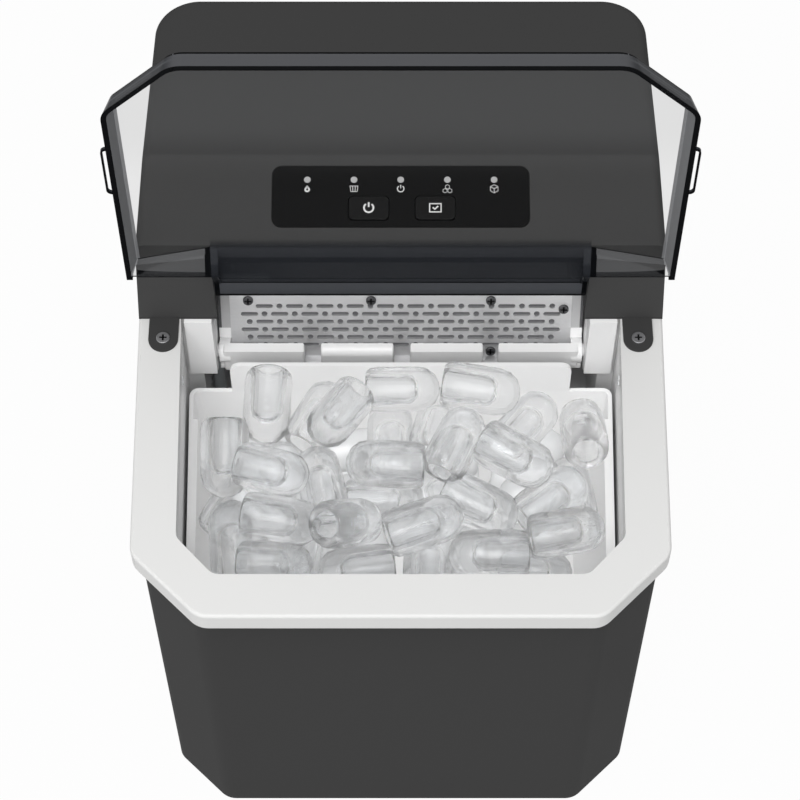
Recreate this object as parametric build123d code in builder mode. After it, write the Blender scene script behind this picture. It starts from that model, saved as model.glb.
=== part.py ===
"""Countertop ice maker: cabinet, hood, smoked lid, tilting tray, ice basket and cooling parts.

Millimetres. X to the right, front towards -Y, Z up. The origin is on the floor under the middle.
The lid is stored open, as it stands while ice is taken out.
"""

import os
from math import atan2, cos, degrees, radians, sin

from build123d import *

os.makedirs("parts", exist_ok=True)

# Overall sizes
overall_depth = 266.0
hood_depth = 124.1
body_width = 213.0
body_height = 207.5

# Rubber feet
foot_height = 7.0
foot_diameter = 20.0
foot_inset = 34.0
foot_edge = 1.0
foot_stem_diameter = 8.0
foot_barb = 1.5
foot_barb_height = 2.0
foot_barb_taper = 30.0

# Body shell and base
body_front_setback = 12.0
body_rear_setback = 3.0
body_cut_x = 23.9
body_cut_y = 23.0
body_wall = 2.5
body_corner_radius = 17.0
body_front_radius = 10.0
body_side_radius = 8.0
base_floor = 3.0
base_rim_height = 15.0
base_rim_wall = 2.5

# Collar and the opening in it, drawn in from the widest line where the hood starts
collar_height = 10.0
collar_overhang = 5.5
collar_front_in = 31.3
collar_corner_in = 3.0
collar_rear_in = 3.4
collar_cut_y = 28.4
collar_edge_radius = 1.4
collar_corner_radius = 10.0
opening_front_in = 36.7
opening_front_gap = 19.1
opening_radius = 6.0
opening_corner_in = 21.3
opening_corner_gap = 36.0
opening_rear_in = 18.0
shoulder_gap = 2.1
bay_in = 25.0
bay_rear_gap = 16.0

# Liner tub
liner_wall = 2.0
liner_step = 0.6
liner_flange = 2.0
liner_leg_diameter = 14.0
liner_leg_in_x = 42.7
liner_leg_in_y = 29.4
liner_leg_bore = 14.0
leg_screw_tip = 2.0
sump_rise = 30.0
sump_depth = 31.7
sump_ledge = 12.0
bay_drop = 66.0

# Hood
hood_wall = 2.5
hood_front_height = 53.5
hood_top_height = 64.5
hood_slope_run = 38.1
hood_side_lean = 3.5
hood_rear_narrowing = 3.0
hood_corner_radius = 19.0
hood_edge_radius = 4.0
recess_in = 33.5
recess_depth = 38.0
recess_roof = 12.0
recess_wall = 2.0
tab_width = 12.6
tab_in = 11.0
tab_reach = 17.0
tab_thickness = 1.2

# Lid
lid_pivot_setback = 15.1
lid_pivot_rise = 26.5
lid_open_angle = 92.0
lid_depth = 9.5
lid_seat_gap = 0.3
lid_front_in = 27.5
lid_cut_y = 26.0
lid_front_radius = 12.0
lid_side_radius = 9.0
lid_front_setback = 12.5
lid_hood_gap = 1.4
lid_wall = 2.0
lid_wall_taper = 15.0
lid_rear_lift = 1.4
lid_rear_cut = 17.5
lid_cut_end = 0.5
ramp_low = 3.4
ramp_inner_run = 9.6
ramp_outer_run = 1.8
ramp_end = 4.0
ramp_overcut = 1.0
tongue_gap = 1.0
tongue_wrap_angle = 16.0
cheek_thickness = 3.0
cheek_lead_angle = 15.0
hinge_pin_diameter = 5.0
hinge_pin_length = 10.0
hinge_boss_diameter = 11.0
hinge_boss_length = 5.0
running_gap = 0.05
loose_gap = 0.3
loop_length = 26.5
loop_height = 1.6
loop_reach = 2.2
loop_wall = 0.7
loop_from_rear = 68.5

# Control panel on the slope
panel_width = 105.6
panel_height = 26.7
panel_corner = 4.0
panel_thickness = 1.0
panel_seat = 0.8
panel_edge_gap = 0.2
panel_from_front = 7.9
led_count = 5
led_pitch = 19.2
led_diameter = 2.7
led_from_top = 6.0
led_hole_gap = 0.1
button_width = 16.4
button_height = 10.2
button_corner = 2.0
button_left_x = -13.1
button_right_x = 14.2
button_from_top = 18.5
button_gap = 0.3
button_proud = 0.5
button_edge = 0.3
button_travel = 0.8
button_flange = 1.0
button_flange_reach = 1.0
button_play = 0.1
board_width = 104.0
board_height = 28.0
board_thickness = 1.6
board_drop = 5.0
board_post_x = 48.0
board_post_y = 11.0
board_post_diameter = 5.0
board_screw_diameter = 2.0
board_screw_head = 4.8
board_screw_head_height = 1.4
board_screw_tip = 1.0
switch_size = 6.0
switch_case_share = 0.7
switch_plunger_share = 0.28

# Tilting tray
tray_pivot_setback = 8.1
tray_pivot_drop = 36.5
pad_shares = ((-0.978, -0.531), (-0.44, -0.039), (0.053, 0.454), (0.538, 0.978))
pad_front = 5.0
pad_high = 6.0
pad_corner = 0.9
pad_round = 3.6
pad_back = 0.4
lip_front = 4.0
lip_foot = 2.4
lip_end = 5.0
wing_gap = 0.8
boss_radius = 5.5
boss_gap = 0.2
chute_lean = 22.0
chute_length = 33.0
chute_side_in = 12.0
chute_thickness = 0.8
chute_back_thickness = 2.5
chute_low = 6.0
chute_lift = 0.5
chute_slot_length = 7.6
chute_slot_width = 1.9
chute_dot_diameter = 2.6
chute_pitch = 13.3
chute_row_pitch = 4.1
chute_rows = 6
chute_first_row = 6.9
chute_tab_gap = 0.2
chute_tab_lift = 0.05
chute_screw_diameter = 4.4
chute_screw_head = 1.2
chute_screw_shank = 2.4
chute_screw_shares = ((-0.891, 0.925), (-0.173, 0.925), (0.527, 0.925), (0.953, 0.788), (0.532, 0.11))
trough_wall = 2.5
trough_end_gap = 10.0
trough_floor = 2.0
trough_height = 26.0
tray_pin_diameter = 6.0
bracket_in = 6.0
bracket_side_gap = 1.2
bracket_flange = 4.0
bracket_low = 3.8
bracket_cheek_depth = 17.0
bracket_cheek_radius = 9.0
gearmotor_diameter = 40.0
gearmotor_thickness = 13.0
gearmotor_offset = 17.0
gearmotor_lug_pitch = 24.0
gearmotor_lug_diameter = 5.0
shaft_socket_depth = 8.0

# Evaporator
finger_diameter = 9.0
finger_tip_radius = 3.6
finger_pitch_share = 0.22
finger_front_count = 5
finger_rear_count = 4
finger_front_share = 0.51
finger_rear_share = 0.8
finger_tip_rise = 10.0
finger_hole_gap = 0.5
carrier_thickness = 3.0
carrier_in = 19.0
carrier_corner = 4.0
carrier_screw_inset = 3.0
carrier_screw_end = 6.0
carrier_margin = 18.0
evaporator_height = 12.0
evaporator_margin = 10.0
evaporator_edge = 2.5

# Ice basket
basket_gap = 1.0
basket_wall = 1.8
basket_taper = 4.0
basket_rear_clear = 11.9
basket_height = 116.0
basket_rear_rise = 20.6
basket_rear_in = 20.2
basket_rear_corner = 5.0
basket_edge_radius = 4.0
basket_rim_width = 3.8
basket_rim_height = 3.0
basket_rim_setback = 16.0
basket_slot_length = 12.0
basket_slot_width = 3.0
basket_slot_columns = 6
basket_slot_rows = 5
basket_slot_share_x = 0.22
basket_slot_share_y = 0.138
basket_lift_gap = 0.3

# Cooling parts behind and under the tub
compressor_diameter = 84.0
compressor_side_room = 8.0
compressor_rear_shift = 2.4
compressor_head_room = 17.5
compressor_crown = 24.0
compressor_seam = 1.5
compressor_seam_height = 4.0
compressor_plate_width = 84.0
compressor_plate_depth = 92.0
compressor_plate_thickness = 2.5
compressor_plate_corner = 8.0
mount_diameter = 14.0
mount_height = 8.0
mount_edge = 1.5
mount_pitch_x = 64.0
mount_pitch_y = 74.0
fin_pitch = 3.6
fin_thickness = 0.5
fin_depth = 30.0
condenser_clear = 48.4
condenser_side_room = 16.2
condenser_lift = 6.0
condenser_head_room = 14.0
condenser_tube_diameter = 6.0
condenser_tube_pitch = 15.0
condenser_turn_gap = 0.2
condenser_turn_room = 1.0
condenser_fan_gap = 4.0
fan_rear_room = 7.5
fan_side_room = 5.0
fan_lift = 5.0
fan_overlap = 18.4
fan_head_room = 11.0
fan_corner = 5.0
fan_duct_wall = 2.0
fan_blade_gap = 2.0
fan_hub_diameter = 34.0
fan_hub_length = 12.0
fan_blade_count = 7
fan_blade_pitch = 35.0
fan_blade_chord = 17.0
fan_blade_thickness = 1.6
fan_tip_gap = 1.0
fan_root_sink = 2.0
fan_shroud_depth = 24.0
fan_shroud_foot = 12.0
fan_motor_diameter = 34.0
fan_motor_length = 8.0
fan_motor_seat = 1.0
fan_hub_gap = 1.0
fan_shaft_diameter = 4.0
fan_shaft_length = 18.0
fan_hub_cap = 2.0
fan_spoke_width = 7.0
fan_spoke_thickness = 3.0
drier_diameter = 16.0
drier_length = 70.0
drier_crown = 6.4
drier_pitch = 30.5
line_diameter = 6.0
line_bend = 8.0
line_in = 9.5
line_setback = 11.0
line_head_room = 6.5
line_socket = 4.0
pump_diameter = 28.0
pump_height = 34.0
pump_edge = 3.0
pump_wall_gap = 3.4
pump_setback = 20.0
hose_diameter = 5.6
hose_bore = 3.2
hose_bend = 7.0
hose_reach = 27.0
hose_rise = 32.0
valve_pitch = 30.0
valve_coil = 22.0
valve_corner = 3.0
valve_coil_height = 28.0
valve_stem_diameter = 10.0
valve_height = 46.0

# Rear panel
panel_overlap = 7.0
rear_window_in = 22.5
rear_window_low = 24.0
rear_window_high = 12.0
rear_panel_thickness = 2.0
rear_panel_corner = 4.0
rear_screw_head = 1.0
rear_screw_bite = 4.0
rear_slot_length = 26.0
rear_slot_width = 3.2
rear_slot_pitch = 7.0
rear_slot_gap = 6.0
intake_slot_rows = 7
grille_slot_rows = 11

# Drain, gland and small fixings
drain_setback = 73.0
drain_rise = 11.0
spout_diameter = 14.0
spout_bore = 9.0
plug_cap_diameter = 20.0
plug_cap = 4.0
plug_cap_edge = 1.2
plug_reach = 12.0
plug_gap = 0.1
gland_shift = 16.0
gland_rise = 36.0
gland_diameter = 16.0
gland_bore = 8.0
gland_flange = 2.0
gland_lip = 1.0
gland_collar = 4.0
sensor_from_hood = 19.9
sensor_drop = 17.6
sensor_lens_diameter = 2.2
sensor_lens_pitch = 4.0
sensor_body_width = 8.0
sensor_body_height = 10.0
sensor_body_depth = 5.0
sensor_corner = 1.5
sensor_proud = 0.6
sensor_clear = 0.6
screw_diameter = 3.0
screw_head_diameter = 5.8
screw_head_height = 1.6
tab_screw_head = 0.8
screw_gap = 0.05
head_rounding = 0.35
cross_length = 3.2
cross_width = 0.8
cross_share = 0.55

# How far an edge may lie from the place where it is looked for
edge_slack = 0.5

# Levels
base_floor_z = foot_height + base_floor
body_bottom_z = foot_height
body_top_z = body_bottom_z + body_height
collar_top_z = body_top_z + collar_height
hood_front_top_z = collar_top_z + hood_front_height
hood_top_z = collar_top_z + hood_top_height
lid_pivot_z = collar_top_z + lid_pivot_rise
lid_rim_z = collar_top_z + lid_seat_gap
lid_face_z = lid_rim_z + lid_depth
tray_pivot_z = collar_top_z - tray_pivot_drop
sump_floor_z = base_floor_z + sump_rise
basket_seat_z = sump_floor_z + sump_depth
basket_bottom_z = basket_seat_z + basket_lift_gap
basket_rim_z = basket_bottom_z + basket_height
bay_floor_z = tray_pivot_z - bay_drop
bay_underside_z = bay_floor_z - liner_wall
plate_low_z = base_floor_z + mount_height
plate_high_z = plate_low_z + compressor_plate_thickness
compressor_top_z = bay_underside_z - compressor_head_room
line_z = bay_underside_z - line_head_room
drain_z = sump_floor_z + drain_rise
sensor_z = collar_top_z - sensor_drop
gland_z = base_floor_z + gland_rise

# Depths
front_y = -overall_depth / 2
hood_rear_y = overall_depth / 2
hood_front_y = hood_rear_y - hood_depth
body_front_y = front_y + body_front_setback
body_rear_y = hood_rear_y - body_rear_setback
shoulder_y = hood_front_y + shoulder_gap
bay_rear_y = hood_rear_y - bay_rear_gap
hood_crease_y = hood_front_y + hood_slope_run
lid_pivot_y = hood_front_y + lid_pivot_setback
lid_rear_y = hood_front_y - lid_hood_gap
lid_front_y = front_y + lid_front_setback
tray_pivot_y = hood_front_y + tray_pivot_setback
trough_length = bay_rear_y - tray_pivot_y - trough_end_gap
finger_front_y = tray_pivot_y + finger_front_share * trough_length
finger_rear_y = tray_pivot_y + finger_rear_share * trough_length
basket_rear_y = hood_front_y - basket_rear_clear
sensor_y = hood_front_y - sensor_from_hood
drain_y = front_y + drain_setback
tub_rear_y = shoulder_y + liner_step + liner_wall
rear_wall_y = body_rear_y - body_wall
compressor_y = (tub_rear_y + rear_wall_y) / 2 + compressor_rear_shift
fan_shroud_y = rear_wall_y - fan_rear_room - fan_shroud_depth
condenser_y = fan_shroud_y - condenser_fan_gap - fin_depth / 2
line_y = compressor_y + line_setback
pump_y = tub_rear_y + pump_setback

# Widths
body_half = body_width / 2
hood_half_width = body_half + collar_overhang
opening_front_half = hood_half_width - opening_front_in
opening_corner_half = hood_half_width - opening_corner_in
opening_rear_half = hood_half_width - opening_rear_in
tray_bay_half = hood_half_width - bay_in
bay_wall_x = tray_bay_half + liner_step
bracket_inner = tray_bay_half - bracket_in
recess_half = hood_half_width - recess_in
tongue_half = recess_half - tongue_gap
tab_center_x = hood_half_width - tab_in
carrier_half = hood_half_width - carrier_in
chute_half = tray_bay_half - chute_side_in
lip_half = chute_half + lip_end
finger_pitch = 2 * chute_half * finger_pitch_share
rear_window_half = body_half - rear_window_in
inside_half = body_half - body_wall
compressor_x = inside_half - compressor_side_room - compressor_plate_width / 2
condenser_room = 2 * inside_half - compressor_plate_width - condenser_clear
condenser_x = condenser_side_room + condenser_room / 2 - inside_half
fin_count = round(condenser_room / fin_pitch)
fan_shroud_size = min(condenser_room + fan_overlap, bay_underside_z - base_floor_z - fan_lift - fan_head_room)
fan_x = fan_side_room + fan_shroud_size / 2 - inside_half
fan_z = base_floor_z + fan_lift + fan_shroud_size / 2
fan_duct_diameter = fan_shroud_size - 2 * fan_duct_wall
fan_blade_diameter = fan_duct_diameter - 2 * fan_blade_gap
line_x = line_in - body_half
pump_x = pump_wall_gap - bay_wall_x
drier_x = pump_x + drier_pitch
valve_x = drier_x + valve_pitch
gland_x = compressor_x + gland_shift

# Control panel plane on the slope, and the stack of levels under it
slope_angle = degrees(atan2(hood_top_height - hood_front_height, hood_slope_run))
panel_center_run = panel_from_front + panel_height / 2
panel_plane = Plane(
    origin=(
        0,
        hood_front_y + panel_center_run * cos(radians(slope_angle)),
        hood_front_top_z + panel_center_run * sin(radians(slope_angle)),
    ),
    x_dir=(1, 0, 0),
    z_dir=(0, -sin(radians(slope_angle)), cos(radians(slope_angle))),
)
button_y = panel_height / 2 - button_from_top
led_y = panel_height / 2 - led_from_top
board_top = -(hood_wall + board_drop)
button_flange_top = -(hood_wall + button_play)
button_flange_low = button_flange_top - button_flange
switch_height = button_flange_low - button_travel - button_play - board_top
sides = {"left": -1, "right": 1}


def opening_half_at(y):
    """Half-width of the ice opening at a depth between its cut corner and the shoulders."""
    corner_y = front_y + opening_corner_gap
    share = (y - corner_y) / (shoulder_y - corner_y)
    return opening_corner_half + share * (opening_rear_half - opening_corner_half)


def plan_outline(stations, rear_radius=0.0, front_radius=0.0, side_radius=0.0):
    """Closed plan face through (half-width, depth) stations, mirrored about the middle."""
    right = [(half, depth) for half, depth in stations]
    left = [(-half, depth) for half, depth in reversed(stations)]
    with BuildSketch() as plan:
        with BuildLine():
            Polyline(*right, *left, close=True)
        make_face()
        if rear_radius > 0:
            fillet(plan.vertices().group_by(Axis.Y)[-1], rear_radius)
        if side_radius > 0:
            fillet(plan.vertices().group_by(Axis.Y)[1], side_radius)
        if front_radius > 0:
            fillet(plan.vertices().group_by(Axis.Y)[0], front_radius)
    return plan.sketch


def grown(plan, amount):
    """The same outline, moved out by amount, or in where amount is negative."""
    with BuildSketch() as larger:
        offset(plan.faces(), amount=amount, kind=Kind.INTERSECTION)
    return larger.sketch


def save(builder, name):
    """Name a finished piece and write it to its own file."""
    builder.part.label = name
    export_step(builder.part, f"parts/{name}.step")


def cross_screw(place, shank_length, shank, head, head_height):
    """Pan-head screw with a cross recess, its head standing on the given plane."""
    outward = Axis(place.origin, place.z_dir)
    with BuildPart() as screw:
        with BuildSketch(place):
            Circle(head / 2)
        extrude(amount=head_height)
        fillet(screw.edges().sort_by(outward)[-1], head_height * head_rounding)
        with BuildSketch(place):
            Circle(shank / 2)
        extrude(amount=-shank_length)
        with BuildSketch(place.offset(head_height * (1 - cross_share))):
            Rectangle(cross_length, cross_width)
            Rectangle(cross_width, cross_length)
        extrude(amount=head_height, mode=Mode.SUBTRACT)
    return screw.part


def screw_group(
    places, shank_length, shank=screw_diameter, head=screw_head_diameter, height=screw_head_height
):
    """Like screws that share one node, each its own solid."""
    return Compound(children=[cross_screw(place, shank_length, shank, head, height) for place in places])


def save_group(group, name):
    """Name a group of like pieces and write it to one file."""
    group.label = name
    export_step(group, f"parts/{name}.step")


# Plan outlines that several pieces share
body_plan = plan_outline(
    [
        (body_half - body_cut_x, body_front_y),
        (body_half, body_front_y + body_cut_y),
        (body_half, body_rear_y),
    ],
    rear_radius=body_corner_radius,
    front_radius=body_front_radius,
    side_radius=body_side_radius,
)
body_inside = grown(body_plan, -body_wall)
collar_plan = plan_outline(
    [
        (hood_half_width - collar_front_in, front_y),
        (hood_half_width - collar_corner_in, front_y + collar_cut_y),
        (hood_half_width, hood_front_y),
        (hood_half_width - collar_rear_in, body_rear_y),
    ],
    rear_radius=body_corner_radius,
    front_radius=collar_corner_radius,
    side_radius=collar_corner_radius,
)
front_opening = plan_outline(
    [
        (opening_front_half, front_y + opening_front_gap),
        (opening_corner_half, front_y + opening_corner_gap),
        (opening_rear_half, shoulder_y),
    ],
    front_radius=opening_radius,
    side_radius=opening_radius,
)
bay_opening = plan_outline([(tray_bay_half, shoulder_y - liner_step), (tray_bay_half, bay_rear_y)])
front_tub = grown(front_opening, liner_step)
bay_tub = grown(bay_opening, liner_step)

# Places of fixings that go through more than one piece
foot_places = {
    f"{end}_{side}": (sides[side] * (body_half - foot_inset), y)
    for end, y in (("front", body_front_y + foot_inset), ("rear", body_rear_y - foot_inset))
    for side in sides
}
leg_places = [
    (side * (opening_corner_half - liner_leg_in_x), y)
    for side in (-1, 1)
    for y in (front_y + opening_front_gap + liner_leg_in_y, shoulder_y - liner_leg_in_y)
]
tab_screw_y = hood_front_y - tab_reach + tab_width / 2
tab_places = [(side * tab_center_x, tab_screw_y) for side in (-1, 1)]
carrier_front_y = hood_front_y + recess_depth + recess_wall
carrier_rear_y = finger_rear_y + carrier_margin
carrier_screw_places = [
    (side * (carrier_half - carrier_screw_inset), y)
    for side in (-1, 1)
    for y in (carrier_front_y + carrier_screw_end, carrier_rear_y - carrier_screw_end)
]
finger_places = [
    ((column - (count - 1) / 2) * finger_pitch, row_y)
    for count, row_y in ((finger_front_count, finger_front_y), (finger_rear_count, finger_rear_y))
    for column in range(count)
]
mount_places = [
    (compressor_x + side * mount_pitch_x / 2, compressor_y + end * mount_pitch_y / 2)
    for side in (-1, 1)
    for end in (-1, 1)
]

# Rubber feet, pushed through holes in the base from below
for foot_name, (foot_x, foot_y) in foot_places.items():
    with BuildPart() as foot:
        with BuildSketch(Plane.XY):
            with Locations((foot_x, foot_y)):
                Circle(foot_diameter / 2)
        extrude(amount=foot_height)
        fillet(foot.edges().group_by(Axis.Z)[0], foot_edge)
        with BuildSketch(Plane.XY.offset(foot_height)):
            with Locations((foot_x, foot_y)):
                Circle(foot_stem_diameter / 2 - running_gap)
        extrude(amount=base_floor)
        with BuildSketch(Plane.XY.offset(base_floor_z)):
            with Locations((foot_x, foot_y)):
                Circle(foot_stem_diameter / 2 + foot_barb)
        extrude(amount=foot_barb_height, taper=foot_barb_taper)
    save(foot, f"foot_{foot_name}")

# Base tray that carries the compressor, the tub and the shell
with BuildPart() as base_tray:
    with BuildSketch(Plane.XY.offset(body_bottom_z)):
        add(body_inside)
    extrude(amount=base_floor)
    with BuildSketch(Plane.XY.offset(base_floor_z)):
        add(body_inside)
        add(grown(body_inside, -base_rim_wall), mode=Mode.SUBTRACT)
    extrude(amount=base_rim_height)
    with BuildSketch(Plane.XY.offset(body_bottom_z)):
        with Locations(*foot_places.values()):
            Circle(foot_stem_diameter / 2)
        with Locations(*leg_places):
            Circle(screw_diameter / 2 + screw_gap)
    extrude(amount=base_floor, mode=Mode.SUBTRACT)
save(base_tray, "base_tray")

base_screw_planes = [
    Plane(origin=(x, y, body_bottom_z), x_dir=(1, 0, 0), z_dir=(0, 0, -1)) for x, y in leg_places
]
save_group(screw_group(base_screw_planes, base_floor + liner_leg_bore - leg_screw_tip), "base_screws")

# Body shell, one moulded wrap with a window at the rear
with BuildPart() as body_shell:
    with BuildSketch(Plane.XY.offset(body_bottom_z)):
        add(body_plan)
        add(body_inside, mode=Mode.SUBTRACT)
    extrude(amount=body_height)
    window_low_z = body_bottom_z + rear_window_low
    window_high_z = body_top_z - rear_window_high
    window_plane = Plane(
        origin=(0, body_rear_y, (window_low_z + window_high_z) / 2), x_dir=(-1, 0, 0), z_dir=(0, 1, 0)
    )
    with BuildSketch(window_plane):
        Rectangle(2 * rear_window_half, window_high_z - window_low_z)
    extrude(amount=-2 * body_wall, mode=Mode.SUBTRACT)
    rear_screw_x = rear_window_half + panel_overlap / 2
    rear_screw_z = (window_high_z - window_low_z) / 2 + panel_overlap / 2
    with BuildSketch(window_plane):
        with GridLocations(rear_screw_x, 2 * rear_screw_z, 3, 2):
            Circle(screw_diameter / 2 + screw_gap)
    extrude(amount=-2 * body_wall, mode=Mode.SUBTRACT)
    with BuildSketch(Plane.YZ.offset(-body_half)):
        with Locations((drain_y, drain_z)):
            Circle(spout_diameter / 2 + loose_gap)
    extrude(amount=2 * body_wall, mode=Mode.SUBTRACT)
save(body_shell, "body_shell")

# Rear panel with a fan grille on one side and intake slots on the other
with BuildPart() as rear_panel:
    with BuildSketch(window_plane):
        RectangleRounded(
            2 * (rear_window_half + panel_overlap),
            window_high_z - window_low_z + 2 * panel_overlap,
            rear_panel_corner,
        )
        with GridLocations(rear_screw_x, 2 * rear_screw_z, 3, 2):
            Circle(screw_diameter / 2 + screw_gap, mode=Mode.SUBTRACT)
        for row in range(grille_slot_rows):
            rise = (row - (grille_slot_rows - 1) / 2) * rear_slot_pitch
            chord = 2 * (max((fan_duct_diameter / 2) ** 2 - rise**2, 0.0)) ** 0.5
            if chord > 3 * rear_slot_width:
                with Locations((-fan_x, fan_z - window_plane.origin.Z + rise)):
                    SlotOverall(chord, rear_slot_width, mode=Mode.SUBTRACT)
        with Locations((-compressor_x, fan_z - window_plane.origin.Z + 2 * rear_slot_pitch)):
            with GridLocations(rear_slot_length + rear_slot_gap, rear_slot_pitch, 2, intake_slot_rows):
                SlotOverall(rear_slot_length, rear_slot_width, mode=Mode.SUBTRACT)
        with Locations((-gland_x, gland_z - window_plane.origin.Z)):
            Circle(gland_diameter / 2, mode=Mode.SUBTRACT)
    extrude(amount=rear_panel_thickness)
save(rear_panel, "rear_panel")

rear_screw_planes = [
    Plane(
        origin=window_plane.from_local_coords(
            (column * rear_screw_x, end * rear_screw_z, rear_panel_thickness)
        ),
        x_dir=(-1, 0, 0),
        z_dir=(0, 1, 0),
    )
    for column in (-1, 0, 1)
    for end in (-1, 1)
]
rear_screw_length = rear_panel_thickness + body_wall + rear_screw_bite
save_group(screw_group(rear_screw_planes, rear_screw_length, height=rear_screw_head), "rear_panel_screws")

# Cord gland, a rubber bush in the rear panel
with BuildPart() as cord_gland:
    gland_plane = Plane(origin=(gland_x, body_rear_y, gland_z), x_dir=(-1, 0, 0), z_dir=(0, 1, 0))
    with BuildSketch(gland_plane):
        Circle(gland_diameter / 2 - running_gap)
    extrude(amount=rear_panel_thickness)
    with BuildSketch(gland_plane.offset(rear_panel_thickness)):
        Circle(gland_diameter / 2 + gland_flange)
    extrude(amount=gland_lip)
    with BuildSketch(gland_plane):
        Circle(gland_diameter / 2 + gland_flange)
    extrude(amount=-gland_collar)
    with BuildSketch(gland_plane.offset(rear_panel_thickness + gland_lip)):
        Circle(gland_bore / 2)
    extrude(amount=-(rear_panel_thickness + gland_lip + gland_collar), mode=Mode.SUBTRACT)
save(cord_gland, "cord_gland")

# White collar that frames the ice opening and carries the hood
with BuildPart() as collar:
    with BuildSketch(Plane.XY.offset(body_top_z)):
        add(collar_plan)
        add(front_opening, mode=Mode.SUBTRACT)
        add(bay_opening, mode=Mode.SUBTRACT)
        with Locations(*tab_places, *carrier_screw_places):
            Circle(screw_diameter / 2 + screw_gap, mode=Mode.SUBTRACT)
        with Locations((line_x, line_y)):
            Circle(line_diameter / 2 + loose_gap, mode=Mode.SUBTRACT)
    extrude(amount=collar_height)
    fillet(collar.faces().sort_by(Axis.Z)[-1].outer_wire().edges(), collar_edge_radius)
save(collar, "collar")

# Liner: the deep front tub, the shallow bay for the tray, a top flange and four legs
with BuildPart() as liner:
    with BuildSketch(Plane.XY.offset(sump_floor_z - liner_wall)):
        add(grown(front_tub, liner_wall))
    extrude(amount=body_top_z - sump_floor_z + liner_wall)
    with BuildSketch(Plane.XY.offset(bay_floor_z - liner_wall)):
        add(grown(bay_tub, liner_wall))
    extrude(amount=body_top_z - bay_floor_z + liner_wall)
    with BuildSketch(Plane.XY.offset(body_top_z - liner_flange)):
        add(body_inside)
    extrude(amount=liner_flange)
    with BuildSketch(Plane.XY.offset(base_floor_z)):
        with Locations(*leg_places):
            Circle(liner_leg_diameter / 2)
    extrude(amount=sump_floor_z - base_floor_z)
    with BuildSketch(Plane.XY.offset(sump_floor_z)):
        add(grown(front_tub, -sump_ledge))
    extrude(amount=basket_seat_z - sump_floor_z, mode=Mode.SUBTRACT)
    with BuildSketch(Plane.XY.offset(basket_seat_z)):
        add(front_tub)
    extrude(amount=body_top_z - basket_seat_z, mode=Mode.SUBTRACT)
    with BuildSketch(Plane.XY.offset(bay_floor_z)):
        add(bay_tub)
    extrude(amount=body_top_z - bay_floor_z, mode=Mode.SUBTRACT)
    with BuildSketch(Plane.XY.offset(base_floor_z)):
        with Locations(*leg_places):
            Circle(screw_diameter / 2 + screw_gap)
    extrude(amount=liner_leg_bore, mode=Mode.SUBTRACT)
    with BuildSketch(Plane.XY.offset(body_top_z - liner_flange)):
        with Locations(*tab_places, *carrier_screw_places):
            Circle(screw_diameter / 2 + screw_gap)
        with Locations((line_x, line_y)):
            Circle(line_diameter / 2 + loose_gap)
    extrude(amount=liner_flange, mode=Mode.SUBTRACT)
    with BuildSketch(Plane.YZ.offset(bay_wall_x)):
        with Locations((tray_pivot_y, tray_pivot_z)):
            Circle(tray_pin_diameter / 2 + loose_gap)
    extrude(amount=liner_wall, mode=Mode.SUBTRACT)
    sump_wall_x = opening_half_at(drain_y) + liner_step - sump_ledge
    with BuildSketch(Plane.YZ.offset(-sump_wall_x + liner_wall)):
        with Locations((drain_y, drain_z)):
            Circle(spout_diameter / 2)
    extrude(amount=-2 * sump_ledge, mode=Mode.SUBTRACT)
    with BuildSketch(Plane.XY.offset(bay_floor_z - liner_wall)):
        with Locations((pump_x, pump_y)):
            Circle(hose_diameter / 2 + loose_gap)
    extrude(amount=liner_wall, mode=Mode.SUBTRACT)
    for side in (-1, 1):
        with BuildSketch(Plane.YZ.offset(side * (opening_half_at(sensor_y) - liner_wall))):
            with Locations((sensor_y, sensor_z)):
                with GridLocations(0, sensor_lens_pitch, 1, 2):
                    Circle(sensor_lens_diameter / 2 + screw_gap)
        extrude(amount=side * 3 * liner_wall, mode=Mode.SUBTRACT)
save(liner, "liner")


def hood_form(shrink, drop):
    """Closed hood shape, drawn in by shrink all round and carried down by drop."""
    with BuildPart() as form:
        with BuildSketch(Plane.YZ):
            with BuildLine():
                Polyline(
                    (hood_front_y, collar_top_z - drop),
                    (hood_front_y, hood_front_top_z),
                    (hood_crease_y, hood_top_z),
                    (hood_rear_y, hood_top_z),
                    (hood_rear_y, collar_top_z - drop),
                    close=True,
                )
            make_face()
            if shrink > 0:
                offset(amount=-shrink, kind=Kind.INTERSECTION, mode=Mode.REPLACE)
        extrude(amount=2 * hood_half_width, both=True)
        for side in (-1, 1):
            side_plane = Plane(
                origin=(side * hood_half_width, hood_front_y, collar_top_z),
                x_dir=(0, 0, 1),
                z_dir=(
                    side,
                    hood_rear_narrowing / (hood_rear_y - hood_front_y),
                    hood_side_lean / hood_front_height,
                ),
            )
            split(bisect_by=side_plane.offset(-shrink), keep=Keep.BOTTOM)
        rear_corners = form.edges().filter_by(
            lambda edge: edge.center().Y > hood_rear_y - shrink - edge_slack
            and abs(edge.center().X) > recess_half
        )
        fillet(rear_corners, hood_corner_radius - shrink)
        top_edges = form.faces().sort_by(Axis.Z)[-1].edges().filter_by(
            lambda edge: edge.center().Y > hood_crease_y + edge_slack
        )
        slope_edges = form.edges().filter_by(
            lambda edge: abs(edge.center().X) > recess_half
            and hood_front_y + edge_slack < edge.center().Y < hood_crease_y
            and edge.center().Z > hood_front_top_z
        )
        fillet(top_edges + slope_edges, hood_edge_radius - shrink)
    return form.part


hood_outside = hood_form(0.0, 0.0)
hood_inside = hood_form(hood_wall, 3 * hood_wall)

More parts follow.
